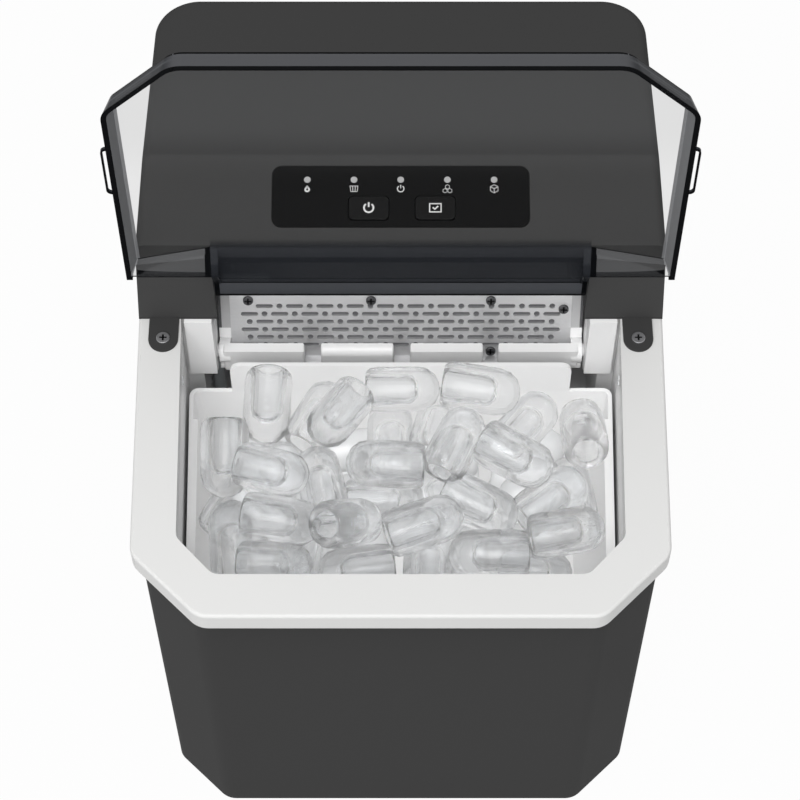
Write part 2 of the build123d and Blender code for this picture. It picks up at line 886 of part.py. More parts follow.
# Rear hood with the lid recess, screw tabs, hinge bores and the sloped panel seat
with BuildPart() as hood:
    add(hood_outside)
    add(hood_inside, mode=Mode.SUBTRACT)
    recess_back_y = hood_front_y + recess_depth
    recess_height = hood_front_height - recess_roof
    with BuildSketch(Plane.XY.offset(collar_top_z)):
        with Locations((0, (hood_front_y + recess_back_y + recess_wall) / 2)):
            Rectangle(2 * (recess_half + recess_wall), recess_depth + recess_wall)
    extrude(amount=recess_height + recess_wall)
    hinge_boss_reach = recess_half + hinge_boss_length
    with BuildSketch(Plane.YZ.offset(-hinge_boss_reach)):
        with Locations((lid_pivot_y, lid_pivot_z)):
            Circle(hinge_boss_diameter / 2)
    extrude(amount=2 * hinge_boss_reach)
    with BuildSketch(Plane.XY.offset(collar_top_z)):
        with Locations((0, (hood_front_y + recess_back_y) / 2 - hood_wall)):
            Rectangle(2 * recess_half, recess_depth + 2 * hood_wall)
    extrude(amount=recess_height, mode=Mode.SUBTRACT)
    hinge_bore_reach = recess_half + hinge_pin_length
    with BuildSketch(Plane.YZ.offset(-hinge_bore_reach)):
        with Locations((lid_pivot_y, lid_pivot_z)):
            Circle(hinge_pin_diameter / 2 + running_gap)
    extrude(amount=2 * hinge_bore_reach, mode=Mode.SUBTRACT)
    with BuildSketch(Plane.XY.offset(collar_top_z)):
        for tab_x, tab_y in tab_places:
            with Locations((tab_x, tab_y)):
                Circle(tab_width / 2)
            with Locations((tab_x, (tab_y + hood_front_y + hood_wall) / 2)):
                Rectangle(tab_width, hood_front_y + hood_wall - tab_y)
        with Locations(*tab_places):
            Circle(screw_diameter / 2 + screw_gap, mode=Mode.SUBTRACT)
    extrude(amount=tab_thickness)
    with BuildSketch(panel_plane):
        RectangleRounded(
            panel_width + 2 * panel_edge_gap, panel_height + 2 * panel_edge_gap, panel_corner + panel_edge_gap
        )
    extrude(amount=-panel_seat, mode=Mode.SUBTRACT)
    with BuildSketch(panel_plane):
        with Locations((button_left_x, button_y), (button_right_x, button_y)):
            RectangleRounded(button_width + 2 * button_gap, button_height + 2 * button_gap, button_corner)
        with Locations((0, led_y)):
            with GridLocations(led_pitch, 0, led_count, 1):
                Circle(led_diameter / 2 + led_hole_gap)
    extrude(amount=-2 * hood_wall, mode=Mode.SUBTRACT)
    with BuildSketch(panel_plane.offset(-hood_wall)):
        with GridLocations(2 * board_post_x, 2 * board_post_y, 2, 2):
            Circle(board_post_diameter / 2)
    extrude(amount=-board_drop)
    with BuildSketch(panel_plane.offset(board_top)):
        with GridLocations(2 * board_post_x, 2 * board_post_y, 2, 2):
            Circle(board_screw_diameter / 2 + screw_gap)
    extrude(amount=board_drop, mode=Mode.SUBTRACT)
save(hood, "hood")

tab_screw_planes = [Plane(origin=(x, y, collar_top_z + tab_thickness)) for x, y in tab_places]
tab_screw_length = tab_thickness + collar_height + liner_flange
save_group(screw_group(tab_screw_planes, tab_screw_length, height=tab_screw_head), "tab_screws")

# Gloss overlay of the control panel
with BuildPart() as control_panel:
    with BuildSketch(panel_plane.offset(-panel_seat)):
        RectangleRounded(panel_width, panel_height, panel_corner)
        with Locations((button_left_x, button_y), (button_right_x, button_y)):
            RectangleRounded(
                button_width + 2 * button_gap,
                button_height + 2 * button_gap,
                button_corner,
                mode=Mode.SUBTRACT,
            )
        with Locations((0, led_y)):
            with GridLocations(led_pitch, 0, led_count, 1):
                Circle(led_diameter / 2 + led_hole_gap, mode=Mode.SUBTRACT)
    extrude(amount=panel_thickness)
save(control_panel, "control_panel")

# Indicator lenses, light pipes that stand on the board
with BuildPart() as indicator_lenses:
    with BuildSketch(panel_plane.offset(board_top)):
        with Locations((0, led_y)):
            with GridLocations(led_pitch, 0, led_count, 1):
                Circle(led_diameter / 2)
    extrude(amount=panel_thickness - panel_seat - board_top)
save(indicator_lenses, "indicator_lenses")

# Push buttons, each a cap with a flange under the hood skin
for button_name, button_x in (("power_button", button_left_x), ("select_button", button_right_x)):
    with BuildPart() as button:
        with BuildSketch(panel_plane.offset(button_flange_low)):
            with Locations((button_x, button_y)):
                RectangleRounded(
                    button_width + 2 * button_flange_reach,
                    button_height + 2 * button_flange_reach,
                    button_corner,
                )
        extrude(amount=button_flange)
        with BuildSketch(panel_plane.offset(button_flange_top)):
            with Locations((button_x, button_y)):
                RectangleRounded(button_width, button_height, button_corner)
        extrude(amount=panel_thickness - panel_seat + button_proud - button_flange_top)
        fillet(button.faces().sort_by(Axis(panel_plane.origin, panel_plane.z_dir))[-1].edges(), button_edge)
    save(button, button_name)

# Control board with its two switches
with BuildPart() as control_board:
    with BuildSketch(panel_plane.offset(board_top)):
        Rectangle(board_width, board_height)
        with GridLocations(2 * board_post_x, 2 * board_post_y, 2, 2):
            Circle(board_screw_diameter / 2 + screw_gap, mode=Mode.SUBTRACT)
    extrude(amount=-board_thickness)
save(control_board, "control_board")

with BuildPart() as button_switches:
    with BuildSketch(panel_plane.offset(board_top)):
        with Locations((button_left_x, button_y), (button_right_x, button_y)):
            Rectangle(switch_size, switch_size)
    extrude(amount=switch_height * switch_case_share)
    with BuildSketch(panel_plane.offset(board_top)):
        with Locations((button_left_x, button_y), (button_right_x, button_y)):
            Circle(switch_size * switch_plunger_share)
    extrude(amount=switch_height)
save(button_switches, "button_switches")

board_screws = []
for side in (-1, 1):
    for end in (-1, 1):
        with BuildPart() as board_screw:
            with BuildSketch(panel_plane.offset(board_top - board_thickness)):
                with Locations((side * board_post_x, end * board_post_y)):
                    Circle(board_screw_head / 2)
            extrude(amount=-board_screw_head_height)
            with BuildSketch(panel_plane.offset(board_top - board_thickness)):
                with Locations((side * board_post_x, end * board_post_y)):
                    Circle(board_screw_diameter / 2)
            extrude(amount=board_thickness + board_drop - board_screw_tip)
        board_screws.append(board_screw.part)
save_group(Compound(children=board_screws), "board_screws")

# Smoked lid, drawn closed on the collar and then swung open about its pins
lid_axis = Axis((0, lid_pivot_y, lid_pivot_z), (1, 0, 0))
lid_plan = plan_outline(
    [
        (hood_half_width - lid_front_in, lid_front_y),
        (hood_half_width, lid_front_y + lid_cut_y),
        (hood_half_width, lid_rear_y),
    ],
    front_radius=lid_front_radius,
    side_radius=lid_side_radius,
)
tongue_radius = lid_pivot_z - lid_face_z
lid_back_z = lid_rim_z + lid_rear_lift


def ramp_sheet(run):
    """Section of the sloped sheet from the pane down to the rear rim."""
    return [
        (lid_rear_y - run - lid_wall, lid_face_z - lid_wall),
        (lid_rear_y - lid_wall, lid_back_z),
        (lid_rear_y, lid_back_z),
        (lid_rear_y, lid_rim_z + ramp_low),
        (lid_rear_y - run, lid_face_z),
        (lid_rear_y - run - lid_wall, lid_face_z),
    ]


def ramp_waste(run):
    """Section of the space above the sloped sheet."""
    return [
        (lid_rear_y - run, lid_face_z),
        (lid_rear_y, lid_rim_z + ramp_low),
        (lid_rear_y + ramp_overcut, lid_rim_z + ramp_low),
        (lid_rear_y + ramp_overcut, lid_face_z + ramp_overcut),
        (lid_rear_y - run, lid_face_z + ramp_overcut),
    ]


def lid_ramp(side, section):
    """Straight-sided form beside the tongue, steeper towards the side of the lid."""
    inner_x = side * tongue_half
    outer_x = side * (hood_half_width - ramp_end)
    with BuildPart() as ramp:
        for station_x, run in ((inner_x, ramp_inner_run), (outer_x, ramp_outer_run)):
            with BuildSketch(Plane.YZ.offset(station_x)):
                with BuildLine():
                    Polyline(*section(run), close=True)
                make_face()
        loft(ruled=True)
    return ramp.part


with BuildPart() as lid:
    with BuildSketch(Plane.XY.offset(lid_rim_z)):
        add(lid_plan)
    extrude(amount=lid_depth, taper=lid_wall_taper)
    with BuildSketch(Plane.XY.offset(lid_rim_z)):
        add(grown(lid_plan, -lid_wall))
    extrude(amount=lid_depth - lid_wall, taper=lid_wall_taper, mode=Mode.SUBTRACT)
    with BuildSketch(Plane.XY.offset(lid_rim_z)):
        with Locations((0, lid_rear_y)):
            Rectangle(2 * (hood_half_width - lid_wall - lid_cut_end), lid_rear_cut)
    extrude(amount=lid_rear_lift, mode=Mode.SUBTRACT)
    with BuildSketch(Plane.XY.offset(lid_rim_z)):
        with Locations((0, lid_rear_y)):
            Rectangle(2 * tongue_half, lid_rear_cut)
    extrude(amount=lid_depth - lid_wall, mode=Mode.SUBTRACT)
    for side in (-1, 1):
        add(lid_ramp(side, ramp_sheet))
        add(lid_ramp(side, ramp_waste), mode=Mode.SUBTRACT)
    with BuildSketch(Plane.XY.offset(lid_face_z - lid_wall)):
        with Locations((0, (lid_rear_y - lid_depth + lid_pivot_y) / 2)):
            Rectangle(2 * tongue_half, lid_pivot_y - lid_rear_y + lid_depth)
    extrude(amount=lid_wall)
    with BuildSketch(Plane.YZ.offset(-tongue_half)):
        with BuildLine():
            pivot_point = (lid_pivot_y, lid_pivot_z)
            inner_arc = CenterArc(pivot_point, tongue_radius, 270, tongue_wrap_angle)
            outer_arc = CenterArc(pivot_point, tongue_radius + lid_wall, 270, tongue_wrap_angle)
            Line(inner_arc @ 0, outer_arc @ 0)
            Line(inner_arc @ 1, outer_arc @ 1)
        make_face()
    extrude(amount=2 * tongue_half)
    for side in (-1, 1):
        with BuildSketch(Plane.YZ.offset(side * tongue_half)):
            with BuildLine():
                web_arc = CenterArc(
                    (lid_pivot_y, lid_pivot_z),
                    tongue_radius + lid_wall / 2,
                    270 - cheek_lead_angle,
                    tongue_wrap_angle + cheek_lead_angle,
                )
                Polyline(web_arc @ 0, (lid_pivot_y, lid_pivot_z), web_arc @ 1)
            make_face()
            with Locations((lid_pivot_y, lid_pivot_z)):
                Circle(hinge_boss_diameter / 2)
                Circle(hinge_pin_diameter / 2 + running_gap, mode=Mode.SUBTRACT)
        extrude(amount=-side * cheek_thickness)
        with BuildSketch(Plane.YZ.offset(side * tongue_half)):
            with BuildLine():
                Polyline(
                    (lid_rear_y - ramp_inner_run - lid_wall, lid_face_z),
                    (lid_rear_y - ramp_inner_run - lid_wall, lid_face_z - lid_wall),
                    (lid_rear_y - lid_wall, lid_back_z),
                    (lid_rear_y, lid_back_z),
                    (lid_pivot_y, lid_face_z),
                    close=True,
                )
            make_face()
        extrude(amount=-side * cheek_thickness)
        with BuildSketch(Plane.XY.offset(lid_rim_z)):
            with Locations((side * hood_half_width, lid_rear_y - loop_from_rear)):
                SlotOverall(loop_length, 2 * loop_reach, rotation=90)
                SlotOverall(
                    loop_length - 2 * loop_wall, 2 * (loop_reach - loop_wall), rotation=90, mode=Mode.SUBTRACT
                )
        extrude(amount=loop_height)
    with BuildSketch(Plane.XY.offset(lid_rim_z)):
        add(grown(lid_plan, -lid_wall))
        with Locations((0, lid_rear_y)):
            Rectangle(4 * hood_half_width, 4 * lid_depth, mode=Mode.SUBTRACT)
    extrude(amount=lid_depth - lid_wall, taper=lid_wall_taper, mode=Mode.SUBTRACT)
lid_open = lid.part.rotate(lid_axis, -lid_open_angle)
lid_open.label = "lid"
export_step(lid_open, "parts/lid.step")

for side_name, side in sides.items():
    with BuildPart() as hinge_pin:
        with BuildSketch(Plane.YZ.offset(side * (tongue_half - cheek_thickness))):
            with Locations((lid_pivot_y, lid_pivot_z)):
                Circle(hinge_pin_diameter / 2)
        extrude(amount=side * hinge_pin_length)
    save(hinge_pin, f"hinge_pin_{side_name}")

# Pivot brackets that hang at the shoulders and carry the tray pins
for side_name, side in sides.items():
    with BuildPart() as bracket:
        flange_y = shoulder_y - bracket_flange
        flange_outer = opening_half_at(flange_y) - bracket_side_gap
        with BuildSketch(Plane.XY.offset(tray_pivot_z - bracket_low)):
            with Locations((side * (bracket_inner + flange_outer) / 2, flange_y + bracket_flange / 2)):
                Rectangle(flange_outer - bracket_inner, bracket_flange)
        extrude(amount=collar_top_z - loose_gap - tray_pivot_z + bracket_low)
        with BuildSketch(Plane.YZ.offset(side * bracket_inner)):
            with Locations((tray_pivot_y, tray_pivot_z)):
                Circle(bracket_cheek_radius)
            with Locations((flange_y + bracket_cheek_depth / 2, (tray_pivot_z + body_top_z) / 2)):
                Rectangle(bracket_cheek_depth, body_top_z - tray_pivot_z)
            with Locations((tray_pivot_y, tray_pivot_z)):
                Circle(tray_pin_diameter / 2 + running_gap, mode=Mode.SUBTRACT)
        extrude(amount=side * (bay_wall_x - bracket_inner))
    save(bracket, f"pivot_bracket_{side_name}")

# Tilting tray: lip with four pads, sloped front wall and a trough under the fingers
chute_plane = Plane(
    origin=(0, tray_pivot_y, tray_pivot_z - chute_low),
    x_dir=(1, 0, 0),
    z_dir=(0, -cos(radians(chute_lean)), sin(radians(chute_lean))),
)
chute_back_plane = chute_plane.offset(-chute_thickness)
chute_columns = int(2 * chute_half / chute_pitch)
chute_screw_places = [(across * chute_half, up * chute_length) for across, up in chute_screw_shares]
lip_top_z = tray_pivot_z - chute_low
lip_low_z = lip_top_z - lip_foot


def lip_pad(left_x, width):
    """Upright pad on the lip, well rounded at its top front edge and a little at both ends."""
    with BuildPart() as pad:
        with BuildSketch(Plane.YZ.offset(left_x)) as section:
            pad_middle_y = tray_pivot_y - (pad_front + pad_back) / 2
            with Locations((pad_middle_y, (lip_low_z + tray_pivot_z + pad_high) / 2)):
                Rectangle(pad_front - pad_back, tray_pivot_z + pad_high - lip_low_z)
            fillet(section.vertices().sort_by(Axis.Z)[-2:].sort_by(Axis.Y)[:1], pad_round)
        extrude(amount=width)
        end_edges = pad.faces().filter_by(Axis.X).edges()
        fillet(end_edges.filter_by(lambda edge: edge.center().Z > lip_top_z), pad_corner)
    return pad.part


with BuildPart() as water_tray:
    with BuildSketch(Plane.XY.offset(tray_pivot_z + trough_floor)):
        with Locations((0, tray_pivot_y + trough_length / 2)):
            Rectangle(2 * (chute_half + trough_wall), trough_length)
    extrude(amount=trough_height - trough_floor)
    with BuildSketch(Plane.XY.offset(tray_pivot_z + trough_floor + trough_wall)):
        with Locations((0, tray_pivot_y + (trough_length - trough_wall) / 2)):
            Rectangle(2 * chute_half, trough_length - trough_wall)
    extrude(amount=trough_height, mode=Mode.SUBTRACT)
    with BuildSketch(chute_back_plane):
        Rectangle(4 * chute_half, 4 * chute_length)
    extrude(amount=trough_length, mode=Mode.SUBTRACT)
    with BuildSketch(chute_back_plane):
        with Locations((0, (chute_length - lip_foot) / 2)):
            Rectangle(2 * (bracket_inner - wing_gap), chute_length + lip_foot)
    extrude(amount=-chute_back_thickness)
    with BuildSketch(Plane.XY.offset(lip_low_z)):
        with Locations((0, tray_pivot_y + (chute_thickness - lip_front) / 2)):
            Rectangle(2 * lip_half, chute_thickness + lip_front)
    extrude(amount=lip_foot)
    for pad_left, pad_right in pad_shares:
        add(lip_pad(lip_half * pad_left, lip_half * (pad_right - pad_left)))
    for side in (-1, 1):
        with BuildSketch(Plane.YZ.offset(side * lip_half)):
            with Locations((tray_pivot_y, tray_pivot_z)):
                Circle(boss_radius)
        extrude(amount=-side * (lip_half - chute_half - boss_gap))
        with BuildSketch(Plane.YZ.offset(side * lip_half)):
            with Locations((tray_pivot_y, tray_pivot_z)):
                Circle(tray_pin_diameter / 2 + running_gap)
        extrude(amount=-side * (lip_half - chute_half - boss_gap), mode=Mode.SUBTRACT)
    with BuildSketch(chute_back_plane):
        with Locations(*chute_screw_places):
            Circle(chute_screw_shank / 2 + screw_gap)
    extrude(amount=-chute_back_thickness, mode=Mode.SUBTRACT)
save(water_tray, "water_tray")

# Perforated chute plate: staggered rows of slots and dots, and three tabs folded forward between the pads
with BuildPart() as chute_plate:
    with BuildSketch(chute_back_plane):
        with Locations((0, (chute_length + chute_lift) / 2)):
            Rectangle(2 * chute_half, chute_length - chute_lift)
        for row in range(chute_rows):
            row_y = chute_first_row + row * chute_row_pitch
            slot_count = chute_columns - row % 2
            dot_count = chute_columns - 1 + row % 2
            slots = [((step - (slot_count - 1) / 2) * chute_pitch, row_y) for step in range(slot_count)]
            dots = [((step - (dot_count - 1) / 2) * chute_pitch, row_y) for step in range(dot_count)]
            if row == chute_rows - 1:
                dots = dots[1:]
            with Locations(*slots):
                SlotOverall(chute_slot_length, chute_slot_width, mode=Mode.SUBTRACT)
            with Locations(*dots):
                Circle(chute_dot_diameter / 2, mode=Mode.SUBTRACT)
        with Locations(*chute_screw_places):
            Circle(chute_screw_shank / 2 + screw_gap, mode=Mode.SUBTRACT)
    extrude(amount=chute_thickness)
    with BuildSketch(Plane.XY.offset(lip_top_z + chute_tab_lift)):
        for (_, gap_left), (gap_right, _) in zip(pad_shares, pad_shares[1:]):
            tab_x = lip_half * (gap_left + gap_right) / 2
            with Locations((tab_x, tray_pivot_y + (chute_thickness - lip_front) / 2 - chute_tab_gap / 2)):
                Rectangle(
                    lip_half * (gap_right - gap_left) - 2 * chute_tab_gap,
                    chute_thickness + lip_front - chute_tab_gap,
                )
    extrude(amount=chute_thickness)
save(chute_plate, "chute_plate")

chute_screw_planes = [
    Plane(chute_plane.from_local_coords((x, y, 0)), chute_plane.x_dir, chute_plane.z_dir)
    for x, y in chute_screw_places
]
save_group(
    screw_group(
        chute_screw_planes,
        chute_thickness + chute_back_thickness,
        chute_screw_shank,
        chute_screw_diameter,
        chute_screw_head,
    ),
    "chute_screws",
)

# Tray pins: a short idle pin on the left and the drive shaft on the right
pin_start_x = chute_half + boss_gap
motor_face_x = bay_wall_x + liner_wall + loose_gap
pin_ends = {"tray_idle_pin": -bay_wall_x, "tray_drive_shaft": motor_face_x + shaft_socket_depth - loose_gap}
for pin_name, pin_end in pin_ends.items():
    with BuildPart() as tray_pin:
        with BuildSketch(Plane.YZ.offset(pin_start_x if pin_end > 0 else -pin_start_x)):
            with Locations((tray_pivot_y, tray_pivot_z)):
                Circle(tray_pin_diameter / 2)
        extrude(amount=pin_end - pin_start_x if pin_end > 0 else pin_end + pin_start_x)
    save(tray_pin, pin_name)

# Gearmotor beside the bay, its output socket off the middle of the case
with BuildPart() as tray_gearmotor:
    with BuildSketch(Plane.YZ.offset(motor_face_x)):
        with Locations((tray_pivot_y + gearmotor_offset, tray_pivot_z)):
            Circle(gearmotor_diameter / 2)
        with Locations((tray_pivot_y, tray_pivot_z)):
            Circle(tray_pin_diameter / 2 + running_gap, mode=Mode.SUBTRACT)
    extrude(amount=shaft_socket_depth)
    with BuildSketch(Plane.YZ.offset(motor_face_x + shaft_socket_depth)):
        with Locations((tray_pivot_y + gearmotor_offset, tray_pivot_z)):
            Circle(gearmotor_diameter / 2)
    extrude(amount=gearmotor_thickness - shaft_socket_depth)
    with BuildSketch(Plane.YZ.offset(bay_wall_x + liner_wall)):
        with Locations((tray_pivot_y + gearmotor_offset, tray_pivot_z)):
            with GridLocations(gearmotor_lug_pitch, gearmotor_lug_pitch, 2, 2):
                Circle(gearmotor_lug_diameter / 2)
    extrude(amount=loose_gap)
save(tray_gearmotor, "tray_gearmotor")

# Evaporator: carrier plate, block and the fingers that the ice freezes on
carrier_mid_y = (carrier_front_y + carrier_rear_y) / 2
with BuildPart() as evaporator_carrier:
    with BuildSketch(Plane.XY.offset(collar_top_z)):
        with Locations((0, carrier_mid_y)):
            RectangleRounded(2 * carrier_half, carrier_rear_y - carrier_front_y, carrier_corner)
        with Locations(*finger_places):
            Circle(finger_diameter / 2 + finger_hole_gap, mode=Mode.SUBTRACT)
        with Locations(*carrier_screw_places):
            Circle(screw_diameter / 2 + screw_gap, mode=Mode.SUBTRACT)
    extrude(amount=carrier_thickness)
save(evaporator_carrier, "evaporator_carrier")

carrier_top_z = collar_top_z + carrier_thickness
carrier_screw_planes = [Plane(origin=(x, y, carrier_top_z)) for x, y in carrier_screw_places]
save_group(
    screw_group(carrier_screw_planes, carrier_thickness + collar_height + liner_flange), "carrier_screws"
)

evaporator_low_z = carrier_top_z
evaporator_half = (finger_front_count - 1) / 2 * finger_pitch + evaporator_margin
with BuildPart() as evaporator_block:
    with BuildSketch(Plane.XY.offset(evaporator_low_z)):
        with Locations((0, (finger_front_y + finger_rear_y) / 2)):
            RectangleRounded(
                2 * evaporator_half,
                finger_rear_y - finger_front_y + 2 * evaporator_margin,
                evaporator_margin / 2,
            )
    extrude(amount=evaporator_height)
    fillet(evaporator_block.edges().group_by(Axis.Z)[-1], evaporator_edge)
save(evaporator_block, "evaporator_block")

with BuildPart() as freezing_fingers:
    with BuildSketch(Plane.XY.offset(tray_pivot_z + finger_tip_rise)):
        with Locations(*finger_places):
            Circle(finger_diameter / 2)
    extrude(amount=evaporator_low_z - tray_pivot_z - finger_tip_rise)
    fillet(freezing_fingers.edges().group_by(Axis.Z)[0], finger_tip_radius)
save(freezing_fingers, "freezing_fingers")

# Ice basket: drafted tub with drain slots and a raised middle at the rear
basket_front_y = front_y + opening_front_gap + liner_step + basket_gap
basket_corner_y = front_y + opening_corner_gap
basket_plan = plan_outline(
    [
        (opening_front_half - basket_gap, basket_front_y),
        (opening_corner_half - basket_gap, basket_corner_y + basket_gap),
        (opening_half_at(basket_rear_y) - basket_gap, basket_rear_y),
    ]
)


def upright_rear_edges(builder):
    """Long edges at the rear corners of the tub, from the middle outwards."""
    upright = builder.edges().filter_by(
        lambda edge: edge.bounding_box().size.Z > basket_height / 2
        and edge.center().Y > basket_rear_y - basket_height / 4
    )
    return upright.sort_by(lambda edge: abs(edge.center().X))


with BuildPart() as ice_basket:
    with BuildSketch(Plane.XY.offset(basket_rim_z)):
        add(basket_plan)
    extrude(amount=-basket_height, taper=basket_taper)
    with BuildSketch(Plane.XY.offset(basket_rim_z)):
        add(grown(basket_plan, -basket_wall))
    extrude(amount=-(basket_height - basket_wall), taper=basket_taper, mode=Mode.SUBTRACT)
    fillet(upright_rear_edges(ice_basket)[:2], basket_edge_radius - basket_wall)
    fillet(upright_rear_edges(ice_basket)[-2:], basket_edge_radius)
    with BuildSketch(Plane.XY.offset(basket_rim_z)):
        add(basket_plan)
        add(grown(basket_plan, -basket_rim_width), mode=Mode.SUBTRACT)
        with Locations((0, basket_rear_y)):
            Rectangle(4 * opening_rear_half, 2 * basket_rim_setback, mode=Mode.SUBTRACT)
    extrude(amount=-basket_rim_height, taper=basket_taper)
    rise_start_z = basket_rim_z - 2 * basket_wall
    rise_plane = Plane(origin=(0, basket_rear_y, rise_start_z), x_dir=(1, 0, 0), z_dir=(0, -1, 0))
    with BuildSketch(rise_plane) as rise:
        with Locations((0, (basket_rear_rise + 2 * basket_wall) / 2)):
            Rectangle(2 * (opening_rear_half - basket_rear_in), basket_rear_rise + 2 * basket_wall)
        fillet(rise.vertices().group_by(Axis.Y)[-1], basket_rear_corner)
    extrude(amount=basket_wall)
    slot_pitch_x = basket_slot_share_x * opening_corner_half
    slot_pitch_y = basket_slot_share_y * (basket_rear_y - basket_front_y)
    with BuildSketch(Plane.XY.offset(basket_bottom_z)):
        with Locations((0, (basket_front_y + basket_rear_y) / 2)):
            with GridLocations(slot_pitch_x, slot_pitch_y, basket_slot_columns, basket_slot_rows):
                SlotOverall(basket_slot_length, basket_slot_width)
    extrude(amount=basket_wall, mode=Mode.SUBTRACT)
save(ice_basket, "ice_basket")

# Ice-full sensors, a pair of lenses through each side wall of the tub
for side_name, side in sides.items():
    with BuildPart() as ice_sensor:
        sensor_face_x = opening_half_at(sensor_y) + liner_step
        with BuildSketch(Plane.YZ.offset(side * (sensor_face_x - sensor_proud))):
            with Locations((sensor_y, sensor_z)):
                with GridLocations(0, sensor_lens_pitch, 1, 2):
                    Circle(sensor_lens_diameter / 2)
        extrude(amount=side * (sensor_proud + liner_wall + sensor_clear))
        with BuildSketch(Plane.YZ.offset(side * (sensor_face_x + liner_wall + sensor_clear))):
            with Locations((sensor_y, sensor_z)):
                RectangleRounded(sensor_body_width, sensor_body_height, sensor_corner)
        extrude(amount=side * sensor_body_depth)
    save(ice_sensor, f"ice_sensor_{side_name}")

# Compressor on its foot plate and rubber mounts
with BuildPart() as compressor_mounts:
    with BuildSketch(Plane.XY.offset(base_floor_z)):
        with Locations(*mount_places):
            Circle(mount_diameter / 2)
    extrude(amount=mount_height)
    fillet(compressor_mounts.edges().group_by(Axis.Z)[-1], mount_edge)
save(compressor_mounts, "compressor_mounts")

with BuildPart() as compressor_plate:
    with BuildSketch(Plane.XY.offset(plate_low_z)):
        with Locations((compressor_x, compressor_y)):
            RectangleRounded(compressor_plate_width, compressor_plate_depth, compressor_plate_corner)
    extrude(amount=compressor_plate_thickness)
save(compressor_plate, "compressor_plate")

compressor_height = compressor_top_z - plate_high_z
with BuildPart() as compressor:
    with BuildSketch(Plane.XY.offset(plate_high_z)):
        with Locations((compressor_x, compressor_y)):
            Circle(compressor_diameter / 2)
    extrude(amount=compressor_height)
    fillet(compressor.edges().group_by(Axis.Z)[-1], compressor_crown)
    fillet(compressor.edges().group_by(Axis.Z)[0], compressor_crown / 2)
    with BuildSketch(Plane.XY.offset(plate_high_z + compressor_height / 2)):
        with Locations((compressor_x, compressor_y)):
            Circle(compressor_diameter / 2 + compressor_seam)
    extrude(amount=compressor_seam_height)
save(compressor, "compressor")

# Condenser: a stack of fins on one serpentine tube
condenser_low_z = base_floor_z + condenser_lift
fin_height = bay_underside_z - condenser_head_room - condenser_low_z
condenser_mid_z = condenser_low_z + fin_height / 2
condenser_tube_rows = 2 * int(fin_height / condenser_tube_pitch / 2)
tube_zs = [
    condenser_mid_z + (row - (condenser_tube_rows - 1) / 2) * condenser_tube_pitch
    for row in range(condenser_tube_rows)
]
with BuildPart() as condenser_fins:
    for fin in range(fin_count):
        fin_x = condenser_x + (fin - (fin_count - 1) / 2) * fin_pitch
        with BuildSketch(Plane.YZ.offset(fin_x)):
            with Locations((condenser_y, condenser_mid_z)):
                Rectangle(fin_depth, fin_height)
                with GridLocations(0, condenser_tube_pitch, 1, condenser_tube_rows):
                    Circle(condenser_tube_diameter / 2 + screw_gap, mode=Mode.SUBTRACT)
        extrude(amount=fin_thickness)
save(condenser_fins, "condenser_fins")

fin_reach = fin_count * fin_pitch / 2
tube_bend = condenser_tube_pitch / 2 - condenser_turn_gap
tube_turn_x = fin_reach + condenser_tube_pitch / 2 + condenser_turn_room
tube_points = []
for row, tube_z in enumerate(tube_zs):
    ends = (condenser_x - tube_turn_x, condenser_x + tube_turn_x)
    for end in ends if row % 2 else ends[::-1]:
        tube_points.append((end, condenser_y, tube_z))
with BuildPart() as condenser_tube:
    with BuildLine() as tube_path:
        FilletPolyline(*tube_points, radius=tube_bend)
    with BuildSketch(Plane(origin=tube_path.line @ 0, z_dir=tube_path.line % 0)):
        Circle(condenser_tube_diameter / 2)
    sweep()
save(condenser_tube, "condenser_tube")

# Fan: square shroud with a round duct, motor on spokes and a pitched blade
fan_plane = Plane(origin=(fan_x, fan_shroud_y, fan_z), x_dir=(1, 0, 0), z_dir=(0, 1, 0))
with BuildPart() as fan_shroud:
    with BuildSketch(fan_plane):
        RectangleRounded(fan_shroud_size, fan_shroud_size, fan_corner)
        Circle(fan_duct_diameter / 2, mode=Mode.SUBTRACT)
    extrude(amount=fan_shroud_depth)
    with BuildSketch(fan_plane):
        Rectangle(fan_duct_diameter + fan_duct_wall, fan_spoke_width)
        Rectangle(fan_spoke_width, fan_duct_diameter + fan_duct_wall)
        Circle(fan_motor_diameter / 2 + fan_motor_seat)
    extrude(amount=fan_spoke_thickness)
    shroud_foot_z = fan_z - fan_shroud_size / 2
    with BuildSketch(Plane.XY.offset(base_floor_z)):
        with Locations((fan_x, fan_shroud_y + fan_shroud_depth / 2)):
            with GridLocations(fan_shroud_size - fan_shroud_foot, 0, 2, 1):
                Rectangle(fan_shroud_foot, fan_shroud_depth)
    extrude(amount=shroud_foot_z - base_floor_z)
save(fan_shroud, "fan_shroud")

with BuildPart() as fan_motor:
    with BuildSketch(fan_plane.offset(fan_spoke_thickness)):
        Circle(fan_motor_diameter / 2)
    extrude(amount=fan_motor_length)
    with BuildSketch(fan_plane.offset(fan_spoke_thickness)):
        Circle(fan_shaft_diameter / 2)
    extrude(amount=fan_shaft_length)
save(fan_motor, "fan_motor")

